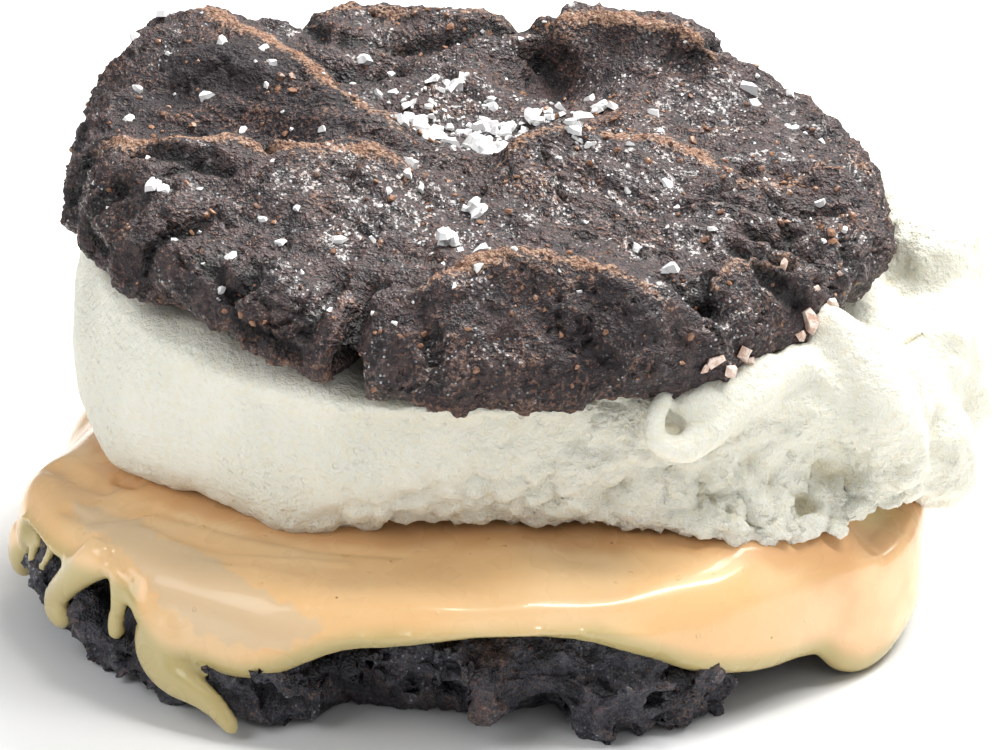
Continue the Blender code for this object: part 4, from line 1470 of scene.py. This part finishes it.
def crumbMesh(dice, size):
    # rough little lump
    mesh = bmesh.new()
    bmesh.ops.create_icosphere(mesh, subdivisions=1, radius=size * mm)
    stretch = (dice.uniform(0.6, 1.3), dice.uniform(0.6, 1.1), 0.6)
    for vert in mesh.verts:
        vert.co *= dice.uniform(0.55, 1.25)
        vert.co = Vector((vert.co[0] * stretch[0], vert.co[1] * stretch[1], vert.co[2] * stretch[2]))
    data = bpy.data.meshes.new("crumb")
    mesh.to_mesh(data)
    mesh.free()
    return data


def pileUp(name, tree, rays, maker):
    # one mesh of small shapes set where rays meet a surface
    dice = np.random.default_rng(bits["seed"])
    mesh = bmesh.new()
    for start, way, size in rays:
        hit, normal, _, _ = tree.ray_cast(start, way)
        if hit is None:
            continue
        turn = normal.to_track_quat("Z", "X").to_matrix().to_4x4()
        turn = turn @ Matrix.Rotation(dice.uniform(0.0, 2.0 * math.pi), 4, "Z")
        turn = turn @ Matrix.Rotation(dice.uniform(-0.5, 0.5), 4, "X")
        first = len(mesh.verts)
        mesh.from_mesh(maker(dice, size))
        mesh.verts.ensure_lookup_table()
        for vert in mesh.verts[first:]:
            vert.co = turn @ vert.co + hit + normal * (0.15 * size * mm)
    for face in mesh.faces:
        face.smooth = False
    data = bpy.data.meshes.new(name)
    mesh.to_mesh(data)
    mesh.free()
    return addObject(name, data)


def inwardRay(angle, height, size):
    out = spot(angle, 80.0, height)
    return Vector(onAxis(np.array(out))), Vector((-out.x, -out.y, 0.0)).normalized(), size


def downRay(x, y, size):
    return Vector(onAxis(np.array([x, y, 70.0]))), Vector((0.0, 0.0, -1.0)), size


def bitMaterial(name, first, second, rough):
    material, maker, shader, place = startMaterial(name, IOR=1.5, Coat_Weight=0.3)
    tone = maker.noise(place, 0.8, 3.0, 0.7)
    maker.feed(shader.inputs["Base Color"], maker.mix(maker.step(tone, 0.35, 0.65), first, second))
    maker.feed(shader.inputs["Roughness"], rough + 0.3 * tone)
    addBump(maker, shader, maker.noise(place, 0.3, 3.0), 0.15, 0.8)
    return material


def strewBits(host):
    tree = surfaceTree(host.data)
    dice = np.random.default_rng(bits["seed"] + 1)
    crystals = pileUp("rosyCrystals", tree, [inwardRay(*spec) for spec in bits["crystals"]], flakeMesh)
    crystals.data.materials.append(bitMaterial("rosySalt", *bits["rosyLook"]))
    rays = []
    for x, y, width, count, size in bits["crumbs"]:
        for _ in range(count):
            dx, dy = dice.normal(0.0, 0.5 * width, 2)
            rays.append(downRay(x + dx, y + dy, size * dice.uniform(0.4, 1.1)))
    for _ in range(bits["strewn"]):
        far = bits["reach"] * math.sqrt(dice.uniform(0.0, 1.0))
        turn = dice.uniform(0.0, 2.0 * math.pi)
        rays.append(downRay(far * math.cos(turn), far * math.sin(turn), dice.uniform(0.15, 0.4)))
    for _ in range(bits["strewn"]):
        bearing = dice.uniform(-180.0, 180.0)
        height = dice.uniform(*bits["rim"])
        rays.append(inwardRay(bearing, height, dice.uniform(0.15, 0.45)))
    crumbs = pileUp("rustyCrumbs", tree, rays, crumbMesh)
    crumbs.data.materials.append(bitMaterial("rustyCrumb", *bits["rustyLook"]))
    return crystals, crumbs


print("crumbs")
for bitPiece in strewBits(topPiece):
    settle(bitPiece, None)


studio = {
    "distance": 0.46, "elevation": 23.0, "lens": 165.6, "sensor": 36.0, "target": (0.0, -0.0006, 0.0193),
    "sky": (0.97, 0.985, 1.0, 1.0), "skyStrength": 0.31,
    "floorHalf": 3.0, "floorTones": ((0.84, 0.845, 0.85), (0.87, 0.87, 0.87)),
    # name, azimuth, elevation, distance, width, height, watts, colour
    "lights": (
        ("window", 142.0, 52.0, 0.55, 0.34, 0.30, 6.0, (1.0, 0.985, 0.95)),
        ("side", 79.0, 68.0, 0.5, 0.06, 0.34, 1.7, (1.0, 0.99, 0.97)),
        ("fill", 22.0, 36.0, 0.6, 0.36, 0.30, 0.3, (1.0, 0.995, 0.98)),
        ("card", -58.0, 38.0, 0.5, 0.28, 0.30, 0.92, (0.98, 0.99, 1.0)),
    ),
}


def areaLight(name, azimuth, elevation, distance, width, height, watts, colour):
    # azimuth 0 stands in front of the sandwich and 90 to its right
    turn = math.radians(azimuth)
    lift = math.radians(elevation)
    back = Vector((math.sin(turn) * math.cos(lift), -math.cos(turn) * math.cos(lift), math.sin(lift)))
    light = bpy.data.lights.new(name, "AREA")
    light.shape = "RECTANGLE"
    light.size = width
    light.size_y = height
    light.energy = watts
    light.color = colour
    lamp = bpy.data.objects.new(name, light)
    lamp.location = back * distance + Vector((0.0, 0.0, 0.025))
    lamp.rotation_euler = back.to_track_quat("Z", "Y").to_euler()
    bpy.context.scene.collection.objects.link(lamp)


def makeStudio():
    scene = bpy.context.scene
    lift = math.radians(studio["elevation"])
    target = Vector(studio["target"])
    lens = bpy.data.cameras.new("camera")
    lens.lens = studio["lens"]
    lens.sensor_width = studio["sensor"]
    lens.clip_start = 0.01
    camera = bpy.data.objects.new("camera", lens)
    camera.location = target + Vector((0.0, -math.cos(lift), math.sin(lift))) * studio["distance"]
    camera.rotation_euler = (math.radians(90.0) - lift, 0.0, 0.0)
    scene.collection.objects.link(camera)
    scene.camera = camera
    scene.view_settings.view_transform = "Standard"
    sky = bpy.data.worlds.new("sky")
    scene.world = sky
    sky.use_nodes = True
    sky.node_tree.nodes["Background"].inputs["Color"].default_value = studio["sky"]
    sky.node_tree.nodes["Background"].inputs["Strength"].default_value = studio["skyStrength"]
    for light in studio["lights"]:
        areaLight(*light)
    floorMesh = bpy.data.meshes.new("floor")
    half = studio["floorHalf"]
    floorMesh.from_pydata([(-half, -half, 0.0), (half, -half, 0.0), (half, half, 0.0), (-half, half, 0.0)],
                          [], [(0, 1, 2, 3)])
    table = addObject("floor", floorMesh)
    material, maker, shader, place = startMaterial("paleFloor", Roughness=0.55)
    tone = maker.noise(place, 60.0, 3.0)
    maker.feed(shader.inputs["Base Color"], maker.mix(tone, *studio["floorTones"]))
    table.data.materials.append(material)


print("studio")
makeStudio()
